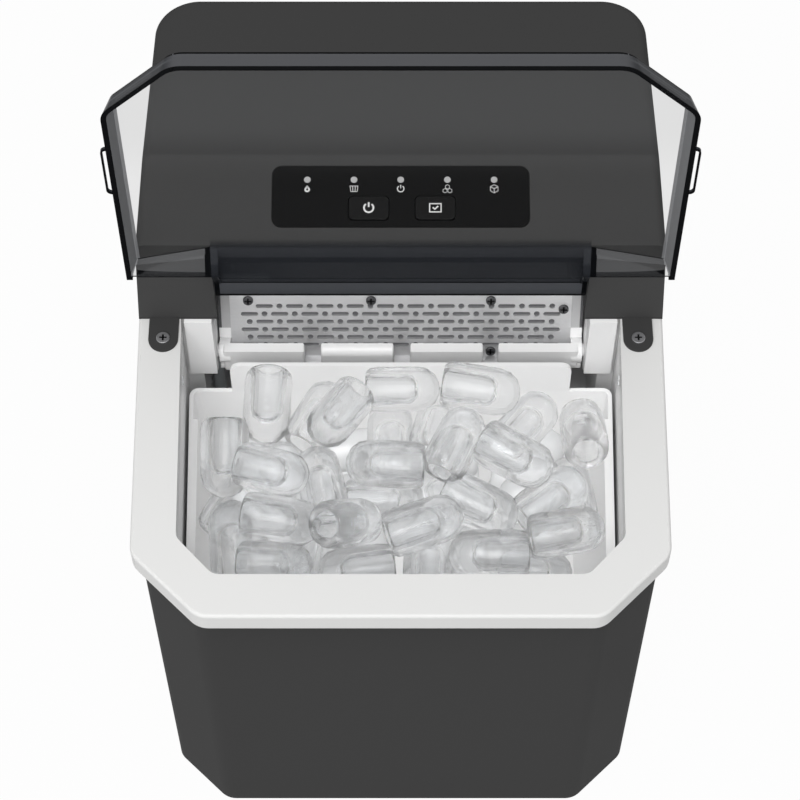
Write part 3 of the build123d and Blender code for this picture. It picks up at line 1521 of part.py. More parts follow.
hub_start = fan_spoke_thickness + fan_motor_length + fan_hub_gap
with BuildPart() as fan_blade:
    with BuildSketch(fan_plane.offset(hub_start)):
        Circle(fan_hub_diameter / 2)
    extrude(amount=fan_hub_length)
    blade_reach = (fan_blade_diameter - fan_hub_diameter) / 2 - fan_tip_gap
    blade_plane = fan_plane.offset(hub_start + fan_hub_length / 2)
    with Locations(blade_plane):
        with PolarLocations((fan_hub_diameter + blade_reach - fan_root_sink) / 2, fan_blade_count):
            Box(
                blade_reach + fan_root_sink,
                fan_blade_chord,
                fan_blade_thickness,
                rotation=(fan_blade_pitch, 0, 0),
            )
    with BuildSketch(fan_plane.offset(hub_start)):
        Circle(fan_shaft_diameter / 2 + running_gap)
    extrude(amount=fan_hub_length - fan_hub_cap, mode=Mode.SUBTRACT)
save(fan_blade, "fan_blade")

# Refrigerant pieces: drier, hot gas valve, suction and discharge lines
with BuildPart() as filter_drier:
    with BuildSketch(Plane.XY.offset(base_floor_z)):
        with Locations((drier_x, pump_y)):
            Circle(drier_diameter / 2)
    extrude(amount=drier_length)
    fillet(filter_drier.edges().group_by(Axis.Z)[-1], drier_crown)
save(filter_drier, "filter_drier")

with BuildPart() as hot_gas_valve:
    with BuildSketch(Plane.XY.offset(base_floor_z)):
        with Locations((valve_x, pump_y)):
            RectangleRounded(valve_coil, valve_coil, valve_corner)
    extrude(amount=valve_coil_height)
    with BuildSketch(Plane.XY.offset(base_floor_z)):
        with Locations((valve_x, pump_y)):
            Circle(valve_stem_diameter / 2)
    extrude(amount=valve_height)
save(hot_gas_valve, "hot_gas_valve")


def bent_tube(points, bend, diameter, bore=0.0):
    """Tube along straight runs joined by arcs."""
    with BuildPart() as tube:
        with BuildLine() as path:
            FilletPolyline(*points, radius=bend)
        with BuildSketch(Plane(origin=path.line @ 0, z_dir=path.line % 0)):
            Circle(diameter / 2)
            if bore > 0:
                Circle(bore / 2, mode=Mode.SUBTRACT)
        sweep()
    return tube


evaporator_mid_z = evaporator_low_z + evaporator_height / 2
suction_x = compressor_x - compressor_diameter / 4
suction_line = bent_tube(
    [
        (-evaporator_half, line_y, evaporator_mid_z),
        (line_x, line_y, evaporator_mid_z),
        (line_x, line_y, line_z),
        (suction_x, line_y, line_z),
        (suction_x, line_y, compressor_top_z - line_socket),
    ],
    line_bend,
    line_diameter,
)
save(suction_line, "suction_line")

discharge_x = condenser_x + tube_turn_x + line_diameter / 2
discharge_y = compressor_y - compressor_diameter / 5
discharge_line = bent_tube(
    [
        (compressor_x, discharge_y, compressor_top_z - line_socket),
        (compressor_x, discharge_y, line_z),
        (discharge_x, discharge_y, line_z),
        (discharge_x, condenser_y, line_z - line_bend),
        (discharge_x, condenser_y, tube_zs[-1]),
    ],
    line_bend / 2,
    line_diameter,
)
save(discharge_line, "discharge_line")

# Water pump under the bay and the hose that fills the tray
with BuildPart() as water_pump:
    with BuildSketch(Plane.XY.offset(base_floor_z)):
        with Locations((pump_x, pump_y)):
            Circle(pump_diameter / 2)
    extrude(amount=pump_height)
    fillet(water_pump.edges().group_by(Axis.Z)[-1], pump_edge)
save(water_pump, "water_pump")

pump_top_z = base_floor_z + pump_height
hose_z = tray_pivot_z + hose_rise
water_hose = bent_tube(
    [
        (pump_x, pump_y, pump_top_z),
        (pump_x, pump_y, hose_z),
        (pump_x + hose_reach, pump_y, hose_z),
    ],
    hose_bend,
    hose_diameter,
    hose_bore,
)
save(water_hose, "water_hose")

# Drain spout through the left wall, with a rubber plug that pulls out
spout_start_x = -sump_wall_x
plug_face_x = -(body_half + loose_gap)
with BuildPart() as drain_spout:
    with BuildSketch(Plane.YZ.offset(spout_start_x)):
        with Locations((drain_y, drain_z)):
            Circle(spout_diameter / 2 - running_gap)
            Circle(spout_bore / 2, mode=Mode.SUBTRACT)
    extrude(amount=-body_half - spout_start_x)
save(drain_spout, "drain_spout")

with BuildPart() as drain_plug:
    with BuildSketch(Plane.YZ.offset(plug_face_x)):
        with Locations((drain_y, drain_z)):
            Circle(plug_cap_diameter / 2)
    extrude(amount=-plug_cap)
    fillet(drain_plug.edges().group_by(Axis.X)[0], plug_cap_edge)
    with BuildSketch(Plane.YZ.offset(plug_face_x)):
        with Locations((drain_y, drain_z)):
            Circle(spout_bore / 2 - plug_gap)
    extrude(amount=plug_reach)
save(drain_plug, "drain_plug")
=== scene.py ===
import math

import bmesh
import bpy
from mathutils import Matrix, Vector


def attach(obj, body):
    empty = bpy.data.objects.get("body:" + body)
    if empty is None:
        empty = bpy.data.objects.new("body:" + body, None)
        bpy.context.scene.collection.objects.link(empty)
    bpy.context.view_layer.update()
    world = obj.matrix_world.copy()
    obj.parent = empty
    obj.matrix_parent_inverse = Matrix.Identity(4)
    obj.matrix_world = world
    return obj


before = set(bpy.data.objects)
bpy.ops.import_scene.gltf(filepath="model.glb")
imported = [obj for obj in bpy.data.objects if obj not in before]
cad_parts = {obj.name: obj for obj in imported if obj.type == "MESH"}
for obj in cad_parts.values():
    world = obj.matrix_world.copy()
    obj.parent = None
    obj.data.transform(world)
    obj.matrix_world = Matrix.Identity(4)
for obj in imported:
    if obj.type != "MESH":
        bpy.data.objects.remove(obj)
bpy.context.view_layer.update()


# Rubber feet, compressor mounts, gland and drain plug
# Black rubber buttons, moulded in one piece and pushed through holes from outside.
# Rubber is dull, with a fine moulded skin that drifts a little in tone.
def link_up(tree, start, end):
    """Join an output socket to an input socket."""
    tree.links.new(start, end)


def feed(tree, value, socket):
    """Give an input socket another socket's output, or a plain value."""
    if isinstance(value, bpy.types.NodeSocket):
        link_up(tree, value, socket)
    else:
        socket.default_value = value


def math_node(tree, operation, first, second=0.0):
    """A Math node whose inputs are sockets or plain numbers."""
    node = tree.nodes.new("ShaderNodeMath")
    node.operation = operation
    for socket, value in zip(node.inputs, (first, second)):
        feed(tree, value, socket)
    return node.outputs[0]


def start_group(name, inputs, outputs, kind="ShaderNodeTree"):
    """A node group with named sockets, and its two end nodes."""
    tree = bpy.data.node_groups.new(name, kind)
    for label, socket_type in inputs:
        tree.interface.new_socket(label, in_out="INPUT", socket_type=socket_type)
    for label, socket_type in outputs:
        tree.interface.new_socket(label, in_out="OUTPUT", socket_type=socket_type)
    return tree, tree.nodes.new("NodeGroupInput"), tree.nodes.new("NodeGroupOutput")


VALUE = "NodeSocketFloat"
COLOUR = "NodeSocketColor"
MM = 0.001
noise_middle = 0.5
drift_scale = 16.0
pebble_depth = 0.4 * MM


def build_moulded_skin():
    """Grain of a moulded surface: slow colour drift, uneven gloss and a fine pebble height."""
    values = [(label, VALUE) for label in ("Drift", "Grain", "Roughness", "Gloss drift")]
    tree, inside, outside = start_group(
        "moulded_skin",
        [("Colour", COLOUR), *values],
        [("Colour", COLOUR), ("Roughness", VALUE), ("Height", VALUE)],
    )
    place = tree.nodes.new("ShaderNodeTexCoord")
    broad = tree.nodes.new("ShaderNodeTexNoise")
    broad.inputs["Scale"].default_value = drift_scale
    broad.inputs["Detail"].default_value = 3.0
    fine = tree.nodes.new("ShaderNodeTexNoise")
    fine.inputs["Detail"].default_value = 2.0
    link_up(tree, place.outputs["Object"], broad.inputs["Vector"])
    link_up(tree, place.outputs["Object"], fine.inputs["Vector"])
    link_up(tree, inside.outputs["Grain"], fine.inputs["Scale"])
    swing = math_node(tree, "SUBTRACT", broad.outputs["Fac"], noise_middle)
    lift = math_node(tree, "MULTIPLY", swing, inside.outputs["Drift"])
    tint = tree.nodes.new("ShaderNodeHueSaturation")
    link_up(tree, math_node(tree, "ADD", lift, 1.0), tint.inputs["Value"])
    link_up(tree, inside.outputs["Colour"], tint.inputs["Color"])
    link_up(tree, tint.outputs["Color"], outside.inputs["Colour"])
    rub = math_node(tree, "MULTIPLY", swing, inside.outputs["Gloss drift"])
    link_up(tree, math_node(tree, "ADD", rub, inside.outputs["Roughness"]), outside.inputs["Roughness"])
    link_up(tree, fine.outputs["Fac"], outside.inputs["Height"])
    return tree


moulded_skin = build_moulded_skin()


def srgb(*levels):
    """Linear colour from 0 to 255 display levels."""
    linear = []
    for level in levels:
        share = level / 255.0
        linear.append(share / 12.92 if share <= 0.04045 else ((share + 0.055) / 1.055) ** 2.4)
    return (*linear, 1.0)


def start_material(name):
    """A node material with its Principled shader."""
    material = bpy.data.materials.new(name)
    material.use_nodes = True
    return material, material.node_tree, material.node_tree.nodes["Principled BSDF"]


def moulded(name, colour, roughness, grain=1400.0, bump=0.05, drift=0.08, gloss_drift=0.1, specular=0.5):
    """A moulded plastic or rubber finish on the shared skin group."""
    material, tree, shader = start_material(name)
    skin = tree.nodes.new("ShaderNodeGroup")
    skin.node_tree = moulded_skin
    skin.inputs["Colour"].default_value = colour
    skin.inputs["Drift"].default_value = drift
    skin.inputs["Grain"].default_value = grain
    skin.inputs["Roughness"].default_value = roughness
    skin.inputs["Gloss drift"].default_value = gloss_drift
    relief = tree.nodes.new("ShaderNodeBump")
    relief.inputs["Strength"].default_value = bump
    relief.inputs["Distance"].default_value = pebble_depth
    link_up(tree, skin.outputs["Colour"], shader.inputs["Base Color"])
    link_up(tree, skin.outputs["Roughness"], shader.inputs["Roughness"])
    link_up(tree, skin.outputs["Height"], relief.inputs["Height"])
    link_up(tree, relief.outputs["Normal"], shader.inputs["Normal"])
    shader.inputs["Specular IOR Level"].default_value = specular
    return material


def dress(material, *names):
    """Give CAD nodes their finish."""
    for name in names:
        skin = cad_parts[name].data.materials
        skin.clear()
        skin.append(material)


foot_rubber = moulded("foot_rubber", srgb(34, 34, 35), 0.75, grain=900.0, bump=0.12, specular=0.3)
dress(foot_rubber, "foot_front_left", "foot_front_right", "foot_rear_left", "foot_rear_right")
dress(foot_rubber, "compressor_mounts", "cord_gland", "drain_plug")


# Base tray, fan and motors
# Black moulded trays and housings that nobody sees in use.
# They come off the tool satin, with a coarser grain than the outside.
base_black = moulded("base_black", srgb(38, 38, 39), 0.6, grain=700.0, bump=0.12)
dress(base_black, "base_tray", "fan_shroud", "fan_blade", "fan_motor", "water_pump", "tray_gearmotor")


# Screws and pins
# Zinc-plated steel with a faintly brushed, uneven plate.
# The heads of the tab screws show on the hood's two tabs; their cross recesses are painted dark, painted
# shade.
line_stretch = 0.04
cloud_scale = 40.0
brush_depth = 0.2 * MM


def build_brushed_metal():
    """Fine lines along X in colour, gloss and height, with a slow cloud over them."""
    tree, inside, outside = start_group(
        "brushed_metal",
        [("Colour", COLOUR), ("Lines", VALUE), ("Contrast", VALUE), ("Roughness", VALUE)],
        [("Colour", COLOUR), ("Roughness", VALUE), ("Height", VALUE)],
    )
    place = tree.nodes.new("ShaderNodeTexCoord")
    stretch = tree.nodes.new("ShaderNodeMapping")
    stretch.inputs["Scale"].default_value = (line_stretch, 1.0, 1.0)
    lines = tree.nodes.new("ShaderNodeTexNoise")
    lines.inputs["Detail"].default_value = 3.0
    cloud = tree.nodes.new("ShaderNodeTexNoise")
    cloud.inputs["Scale"].default_value = cloud_scale
    link_up(tree, place.outputs["Object"], stretch.inputs["Vector"])
    link_up(tree, stretch.outputs["Vector"], lines.inputs["Vector"])
    link_up(tree, inside.outputs["Lines"], lines.inputs["Scale"])
    link_up(tree, place.outputs["Object"], cloud.inputs["Vector"])
    blend = math_node(tree, "ADD", lines.outputs["Fac"], cloud.outputs["Fac"])
    off_middle = math_node(tree, "SUBTRACT", blend, 2 * noise_middle)
    swing = math_node(tree, "MULTIPLY", off_middle, inside.outputs["Contrast"])
    tint = tree.nodes.new("ShaderNodeHueSaturation")
    link_up(tree, math_node(tree, "ADD", swing, 1.0), tint.inputs["Value"])
    link_up(tree, inside.outputs["Colour"], tint.inputs["Color"])
    link_up(tree, tint.outputs["Color"], outside.inputs["Colour"])
    link_up(tree, math_node(tree, "ADD", swing, inside.outputs["Roughness"]), outside.inputs["Roughness"])
    link_up(tree, lines.outputs["Fac"], outside.inputs["Height"])
    return tree


brushed_metal = build_brushed_metal()


def metal(name, colour, roughness, lines=2500.0, contrast=0.2, bump=0.04):
    """A metal finish on the shared brushed group."""
    material, tree, shader = start_material(name)
    brush = tree.nodes.new("ShaderNodeGroup")
    brush.node_tree = brushed_metal
    brush.inputs["Colour"].default_value = colour
    brush.inputs["Lines"].default_value = lines
    brush.inputs["Contrast"].default_value = contrast
    brush.inputs["Roughness"].default_value = roughness
    relief = tree.nodes.new("ShaderNodeBump")
    relief.inputs["Strength"].default_value = bump
    relief.inputs["Distance"].default_value = brush_depth
    link_up(tree, brush.outputs["Colour"], shader.inputs["Base Color"])
    link_up(tree, brush.outputs["Roughness"], shader.inputs["Roughness"])
    link_up(tree, brush.outputs["Height"], relief.inputs["Height"])
    link_up(tree, relief.outputs["Normal"], shader.inputs["Normal"])
    shader.inputs["Metallic"].default_value = 1.0
    return material


def between(tree, value, low, high):
    """1 where a value lies between two numbers."""
    above = math_node(tree, "GREATER_THAN", value, low)
    return math_node(tree, "MULTIPLY", above, math_node(tree, "LESS_THAN", value, high))


def near(tree, value, level, slack):
    """1 where a value lies within a slack of a level."""
    return between(tree, value, level - slack, level + slack)


def object_place(tree):
    """Object coordinates, split into X, Y and Z."""
    place = tree.nodes.new("ShaderNodeTexCoord")
    split = tree.nodes.new("ShaderNodeSeparateXYZ")
    link_up(tree, place.outputs["Object"], split.inputs["Vector"])
    return split.outputs["X"], split.outputs["Y"], split.outputs["Z"]


# places of a Mix node's under, over and result sockets
mix_sockets = {"FLOAT": (2, 3, 0), "RGBA": (6, 7, 2)}


def lay_over(tree, kind, share, under, over):
    """Lay a number or a colour over another by a mask; each is a socket or a plain value."""
    node = tree.nodes.new("ShaderNodeMix")
    node.data_type = kind
    under_socket, over_socket, result = mix_sockets[kind]
    link_up(tree, share, node.inputs[0])
    feed(tree, under, node.inputs[under_socket])
    feed(tree, over, node.inputs[over_socket])
    return node.outputs[result]


def stain(material, mask, colour):
    """Lay a colour over a finish by a mask."""
    tree = material.node_tree
    base = tree.nodes["Principled BSDF"].inputs["Base Color"]
    link_up(tree, lay_over(tree, "RGBA", mask, base.links[0].from_socket, colour), base)


recess_slack = 0.06 * MM
painted_recess_shade = srgb(24, 24, 25)
zinc_grey = srgb(150, 150, 152)
tab_recess_level = 226.06 * MM
screw_zinc = metal("screw_zinc", zinc_grey, 0.38)
tab_screw_zinc = metal("tab_screw_zinc", zinc_grey, 0.5)
tab_tree = tab_screw_zinc.node_tree
_, _, tab_level = object_place(tab_tree)
# The recess floor of each tab screw is painted dark: painted shade.
stain(tab_screw_zinc, near(tab_tree, tab_level, tab_recess_level, recess_slack), painted_recess_shade)
dress(tab_screw_zinc, "tab_screws")
dress(screw_zinc, "base_screws", "rear_panel_screws", "board_screws", "carrier_screws")
pin_steel = metal("pin_steel", srgb(190, 190, 192), 0.25)
dress(pin_steel, "hinge_pin_left", "hinge_pin_right")


# Cooling parts
# Painted compressor can on a zinc plate, copper lines and drier, aluminium fins.
# They sit behind and under the tub and show only through the rear grille.
can_paint = moulded("can_paint", srgb(28, 28, 30), 0.35, grain=500.0, bump=0.08)
dress(can_paint, "compressor", "hot_gas_valve")
zinc_sheet = metal("zinc_sheet", srgb(165, 168, 170), 0.42, lines=900.0, contrast=0.3)
dress(zinc_sheet, "compressor_plate")
copper = metal("copper", srgb(196, 120, 84), 0.32, lines=1200.0, contrast=0.3)
dress(copper, "suction_line", "discharge_line", "condenser_tube", "filter_drier")
fin_aluminium = metal("fin_aluminium", srgb(200, 202, 205), 0.35, lines=1800.0)
dress(fin_aluminium, "condenser_fins")
nickel = metal("nickel", srgb(196, 194, 188), 0.2, lines=1500.0, contrast=0.12)
dress(nickel, "evaporator_block", "freezing_fingers")


# Water hose
# Soft silicone tube from the pump up to the tray.
# It is drawn in one length, a little milky, and pushed over the pump's spout.
clear_hose = moulded("clear_hose", srgb(196, 202, 204), 0.25, grain=300.0, bump=0.02)
dress(clear_hose, "water_hose")


# Body shell, hood and rear panel
# One charcoal plastic for all of the outside, moulded with a very fine spark-eroded grain.
# It is matt, and the hood's front and slope above the tabs are painted paler than its top: painted light.
def charcoal(name, level):
    """The outside's matt charcoal at a grey level."""
    grey = srgb(level, level, level)
    return moulded(name, grey, 0.6, grain=1800.0, bump=0.06, drift=0.03, gloss_drift=0.05, specular=0.02)


hood_crease = 47.0 * MM
crease_blend = 2.0 * MM
tab_top = 226.0 * MM
painted_slope_light = srgb(72, 72, 72)


def ramp_up(tree, value, low, high):
    """0 below a number, 1 above another, smooth between."""
    node = tree.nodes.new("ShaderNodeMapRange")
    node.interpolation_type = "SMOOTHSTEP"
    node.inputs["From Min"].default_value = low
    node.inputs["From Max"].default_value = high
    link_up(tree, value, node.inputs["Value"])
    return node.outputs["Result"]


hood_charcoal = charcoal("hood_charcoal", level=62)
hood_tree = hood_charcoal.node_tree
_, hood_depth, hood_level = object_place(hood_tree)
on_top = ramp_up(hood_tree, hood_depth, hood_crease - crease_blend, hood_crease + crease_blend)
above_tabs = math_node(hood_tree, "GREATER_THAN", hood_level, tab_top)
on_slope = math_node(hood_tree, "MULTIPLY", above_tabs, math_node(hood_tree, "SUBTRACT", 1.0, on_top))
# The front and slope above the tabs are painted paler than the top: painted light.
stain(hood_charcoal, on_slope, painted_slope_light)
dress(hood_charcoal, "hood")
dress(charcoal("body_charcoal", level=65), "body_shell", "rear_panel")


# White collar, liner, brackets and basket
# Food-grade white plastic, satin, cleaner and glossier than the charcoal outside.
# The collar frames the opening, and the basket lifts out of the liner.
collar_white = srgb(222, 222, 221)
white_satin = moulded("white_satin", collar_white, 0.4, grain=3000.0, bump=0.02, drift=0.03, specular=0.25)
dress(white_satin, "collar", "drain_spout")
# Liner and basket are set paler than the collar, as painted light for the dim inside of the opening.
liner_white = moulded("liner_white", srgb(242, 242, 242), 0.42, grain=2500.0, bump=0.03, drift=0.04)
dress(liner_white, "liner", "evaporator_carrier")
basket_white = moulded("basket_white", srgb(248, 248, 248), 0.4, grain=2200.0, bump=0.02, drift=0.03)
dress(basket_white, "ice_basket", "pivot_bracket_left", "pivot_bracket_right")
dress(basket_white, "tray_idle_pin", "tray_drive_shaft")


# Ice-full sensors
# Clear lenses in pairs through the side walls of the tub.
# Each pair is one acrylic moulding that clips in from behind.
sensor_clear = moulded("sensor_clear", srgb(236, 238, 240), 0.15, grain=400.0, bump=0.01)
dress(sensor_clear, "ice_sensor_left", "ice_sensor_right")


# Tilting tray
# White moulding; its front wall behind the plate is painted grey, painted shade for the dark floor of every
# slot in the plate.
# Beside the plate its wings are painted grey, painted shade of the pocket there, with a darker painted line
# on each side.
chute_foot = Vector((0.0, 17.0, 182.0)) * MM
chute_lean = math.radians(22.0)
chute_half = 75.0 * MM
plate_thickness = 0.8 * MM
slot_shade_reach = 0.3 * MM
painted_slot_shade = srgb(92, 92, 94)
wing_end = 88.0 * MM
wing_foot = 196.0 * MM
painted_wing_shade = srgb(188, 188, 189)
wing_line_start = 79.0 * MM
wing_line_end = 80.2 * MM
painted_line_shade = srgb(84, 84, 86)


def proud_of_plate(tree):
    """How far a place stands in front of the steel plate."""
    _, depth, level = object_place(tree)
    behind = math_node(tree, "SUBTRACT", depth, chute_foot.y)
    above = math_node(tree, "SUBTRACT", level, chute_foot.z)
    out_y = math_node(tree, "MULTIPLY", behind, -math.cos(chute_lean))
    out_z = math_node(tree, "MULTIPLY", above, math.sin(chute_lean))
    return math_node(tree, "ADD", out_y, out_z)


tray_white = moulded("tray_white", srgb(248, 248, 248), 0.36, grain=3000.0, bump=0.02, drift=0.03)
tray_tree = tray_white.node_tree
across, _, tray_level = object_place(tray_tree)
aside = math_node(tray_tree, "ABSOLUTE", across)
# The wall just behind the plate is painted grey: painted shade seen through the slots.
on_wall = near(tray_tree, proud_of_plate(tray_tree), -plate_thickness, slot_shade_reach)
under_plate = math_node(tray_tree, "LESS_THAN", aside, chute_half)
stain(tray_white, math_node(tray_tree, "MULTIPLY", on_wall, under_plate), painted_slot_shade)
# The wings beside the plate are painted grey with a darker line: painted shade.
past_plate = between(tray_tree, aside, chute_half, wing_end)
above_foot = math_node(tray_tree, "GREATER_THAN", tray_level, wing_foot)
on_wing = math_node(tray_tree, "MULTIPLY", past_plate, above_foot)
on_wing_line = between(tray_tree, aside, wing_line_start, wing_line_end)
stain(tray_white, on_wing, painted_wing_shade)
stain(tray_white, math_node(tray_tree, "MULTIPLY", on_wing, on_wing_line), painted_line_shade)
dress(tray_white, "water_tray")


# Perforated chute plate and its screws
# Brushed stainless sheet on the tray's front wall, punched with rows of slots and dots.
# Five dark pan heads hold it.
chute_steel = metal("chute_steel", srgb(224, 224, 225), 0.5, lines=3200.0, contrast=0.12, bump=0.04)
dress(chute_steel, "chute_plate")
chute_recess_level = 0.54 * MM
chute_screw_dark = metal("chute_screw_dark", srgb(96, 96, 98), 0.5)
screw_tree = chute_screw_dark.node_tree
in_recess = near(screw_tree, proud_of_plate(screw_tree), chute_recess_level, recess_slack)
# The recess floor of each chute screw is painted dark: painted shade.
stain(chute_screw_dark, in_recess, painted_recess_shade)
dress(chute_screw_dark, "chute_screws")


# Control board
# Green glass-epoxy board with two tact switches, screwed to posts under the slope.
# It is hidden, and shows only where the hood is taken off.
board_green = moulded("board_green", srgb(24, 84, 52), 0.4, grain=600.0, bump=0.05)
dress(board_green, "control_board")
dress(base_black, "button_switches")


# Control panel, buttons and lenses
# Black overlay let into the slope, two soft-edged keys and five pale lenses.
# The marks are printed in pale grey: drop, basket, power, cubes, and a sign on each key.
overlay_black = srgb(20, 20, 20)
panel_black = moulded("panel_black", overlay_black, 0.4, grain=1500.0, bump=0.01, drift=0.04, specular=0.05)
dress(panel_black, "control_panel")
key_black = moulded("key_black", overlay_black, 0.36, grain=1500.0, bump=0.01, drift=0.04, specular=0.1)
dress(key_black, "power_button", "select_button")
lens_pale = moulded("lens_pale", srgb(186, 186, 186), 0.25, grain=500.0, bump=0.02)
dress(lens_pale, "indicator_lenses")

slope_rise = 11.0
slope_run = 38.1
slope_front = 8.9
slope_foot = 278.0
panel_from_foot = 21.25
panel_slope = math.atan2(slope_rise, slope_run)
panel_y = slope_front + panel_from_foot * math.cos(panel_slope)
panel_z = slope_foot + panel_from_foot * math.sin(panel_slope)
panel_turn = Matrix.Rotation(panel_slope, 4, "X") @ Matrix.Scale(MM, 4)
panel_frame = Matrix.Translation(Vector((0.0, panel_y, panel_z)) * MM) @ panel_turn
overlay_top = 0.2
key_top = 0.7
ink_thickness = 0.1
print_sink = 0.04
touching = 1e-6
GEOMETRY = "NodeSocketGeometry"
FINISH = "NodeSocketMaterial"


def end_in_finish(tree, shapes, finish, outside):
    """Close a geometry tree with plain faces in one finish."""
    whole = tree.nodes.new("GeometryNodeRealizeInstances")
    coat = tree.nodes.new("GeometryNodeSetMaterial")
    link_up(tree, shapes, whole.inputs["Geometry"])
    link_up(tree, whole.outputs["Geometry"], coat.inputs["Geometry"])
    link_up(tree, finish, coat.inputs["Material"])
    link_up(tree, coat.outputs["Geometry"], outside.inputs["Geometry"])


def build_stroke_tree():
    """Turns edges in the XY plane into flat printed strokes of a set width and thickness."""
    tree, inside, outside = start_group(
        "printed_strokes",
        [("Geometry", GEOMETRY), ("Stroke width", VALUE), ("Ink thickness", VALUE), ("Ink", FINISH)],
        [("Geometry", GEOMETRY)],
        "GeometryNodeTree",
    )
    to_curve = tree.nodes.new("GeometryNodeMeshToCurve")
    upright = tree.nodes.new("GeometryNodeSetCurveNormal")
    upright.mode = "Z_UP"
    nib = tree.nodes.new("GeometryNodeCurvePrimitiveQuadrilateral")
    sweep = tree.nodes.new("GeometryNodeCurveToMesh")
    sweep.inputs["Fill Caps"].default_value = True
    link_up(tree, inside.outputs["Geometry"], to_curve.inputs["Mesh"])
    link_up(tree, to_curve.outputs["Curve"], upright.inputs["Curve"])
    link_up(tree, upright.outputs["Curve"], sweep.inputs["Curve"])
    link_up(tree, inside.outputs["Stroke width"], nib.inputs["Width"])
    link_up(tree, inside.outputs["Ink thickness"], nib.inputs["Height"])
    link_up(tree, nib.outputs["Curve"], sweep.inputs["Profile Curve"])
    end_in_finish(tree, sweep.outputs["Mesh"], inside.outputs["Ink"], outside)
    return tree


stroke_tree = build_stroke_tree()
print_ink = moulded("print_ink", srgb(240, 240, 240), 0.5, grain=900.0, bump=0.02)


def set_input(modifier, label, value):
    """Set a node modifier's input by its socket's identifier."""
    for item in modifier.node_group.interface.items_tree:
        if item.item_type == "SOCKET" and item.in_out == "INPUT" and item.name == label:
            modifier[item.identifier] = value


def plain_mesh(piece, tree, settings):
    """Run a node tree on a piece and keep the outcome as its own plain mesh."""
    grower = piece.modifiers.new("grow", "NODES")
    grower.node_group = tree
    for label, value in settings.items():
        set_input(grower, label, value)
    bpy.context.view_layer.update()
    grown = bpy.data.meshes.new_from_object(piece.evaluated_get(bpy.context.evaluated_depsgraph_get()))
    piece.modifiers.remove(grower)
    piece.data = grown
    return grown


def arc(x, y, radius, start, end, count=20):
    """Points along an arc, in degrees."""
    turns = [math.radians(start + (end - start) * step / count) for step in range(count + 1)]
    return [(x + radius * math.cos(turn), y + radius * math.sin(turn)) for turn in turns]


def hexagon(x, y, radius):
    """Six-sided outline with a corner on top."""
    return arc(x, y, radius, 90, 450, 6)


def power_mark(x, y, radius):
    """Ring open at the top, with a bar through its gap."""
    half_gap = 35
    ring = arc(x, y, radius, 90 + half_gap, 450 - half_gap)
    bar = [(x, y + 0.15 * radius), (x, y + 1.25 * radius)]
    return [ring, bar]


def cube_mark(x, y, radius):
    """Cube seen from its corner: six sides and three inner edges."""
    ring = hexagon(x, y, radius)
    spokes = [[(x, y), ring[corner]] for corner in (1, 3, 5)]
    return [ring, *spokes]


def drop_mark(x, y, height):
    """Water drop filled by strokes that follow its outline inwards."""
    strokes = []
    bowl_share = 0.36
    middle = y - (0.5 - bowl_share) * height
    for share in (1.0, 0.62):
        size = height * share
        tip = (x, middle + (1.0 - bowl_share) * size)
        bowl = arc(x, middle, bowl_share * size, 150, 390, 16)
        strokes.append([tip, *bowl, tip])
    return strokes


def basket_mark(x, y, width, height):
    """Basket with a rim and bars that draw in towards its foot."""
    low, high = y - height / 2, y + height / 2
    foot_half = 0.4 * width
    bar_high = 0.46 * width
    bar_low = 0.38 * width
    rim = [(x - width / 2, high), (x + width / 2, high)]
    foot = [(x - foot_half, low), (x + foot_half, low)]
    bars = []
    for share in (-1.0, -0.34, 0.34, 1.0):
        bars.append([(x + share * bar_high, high), (x + share * bar_low, low)])
    return [rim, foot, *bars]


def tick_mark(x, y, width, height):
    """Rectangle with a tick in it."""
    left, right, low, high = x - width / 2, x + width / 2, y - height / 2, y + height / 2
    frame_line = [(left, low), (right, low), (right, high), (left, high), (left, low)]
    tick_start = (x - 0.22 * width, y + 0.05 * height)
    tick_turn = (x - 0.05 * width, y - 0.18 * height)
    tick_end = (x + 0.24 * width, y + 0.2 * height)
    return [frame_line, [tick_start, tick_turn, tick_end]]


def print_marks(name, strokes, width, level, body):
    """Print strokes, given in millimetres on the panel, as a thin raised ink piece."""
    mesh = bpy.data.meshes.new(name)
    points = []
    edges = []
    for stroke in strokes:
        closed = len(stroke) > 2 and math.dist(stroke[0], stroke[-1]) < touching
        chain = stroke[:-1] if closed else stroke
        first = len(points)
        points += [(x, y, 0.0) for x, y in chain]
        edges += [(first + step, first + step + 1) for step in range(len(chain) - 1)]
        if closed:
            edges.append((first + len(chain) - 1, first))
    mesh.from_pydata(points, edges, [])
    piece = bpy.data.objects.new(name, mesh)
    bpy.context.scene.collection.objects.link(piece)
    sizes = {"Stroke width": width, "Ink thickness": ink_thickness, "Ink": print_ink}
    grown = plain_mesh(piece, stroke_tree, sizes)
    grown.transform(panel_frame @ Matrix.Translation((0, 0, level + ink_thickness / 2 - print_sink)))
    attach(piece, body)


led_pitch = 19.2
mark_row = 3.35
key_row = -5.15
power_key_x = -13.1
select_key_x = 14.2
small_cube = 0.95
cube_step = 1.0
cube_drop = 0.85
small_cubes = []
for step_x, step_y in ((0.0, cube_drop), (-cube_step, -cube_drop), (cube_step, -cube_drop)):
    small_cubes.append(hexagon(led_pitch + step_x, mark_row + step_y, small_cube))
overlay_marks = {
    "mark_water": (drop_mark(-2 * led_pitch, mark_row, height=2.7), 0.36),
    "mark_basket": (basket_mark(-led_pitch, mark_row, width=3.5, height=2.4), 0.28),
    "mark_power": (power_mark(0.0, mark_row, radius=1.35), 0.42),
    "mark_small_ice": (small_cubes, 0.22),
    "mark_large_ice": (cube_mark(2 * led_pitch, mark_row, radius=1.8), 0.27),
}
for name, (strokes, stroke_width) in overlay_marks.items():
    print_marks(name, strokes, stroke_width, overlay_top, "cabinet")
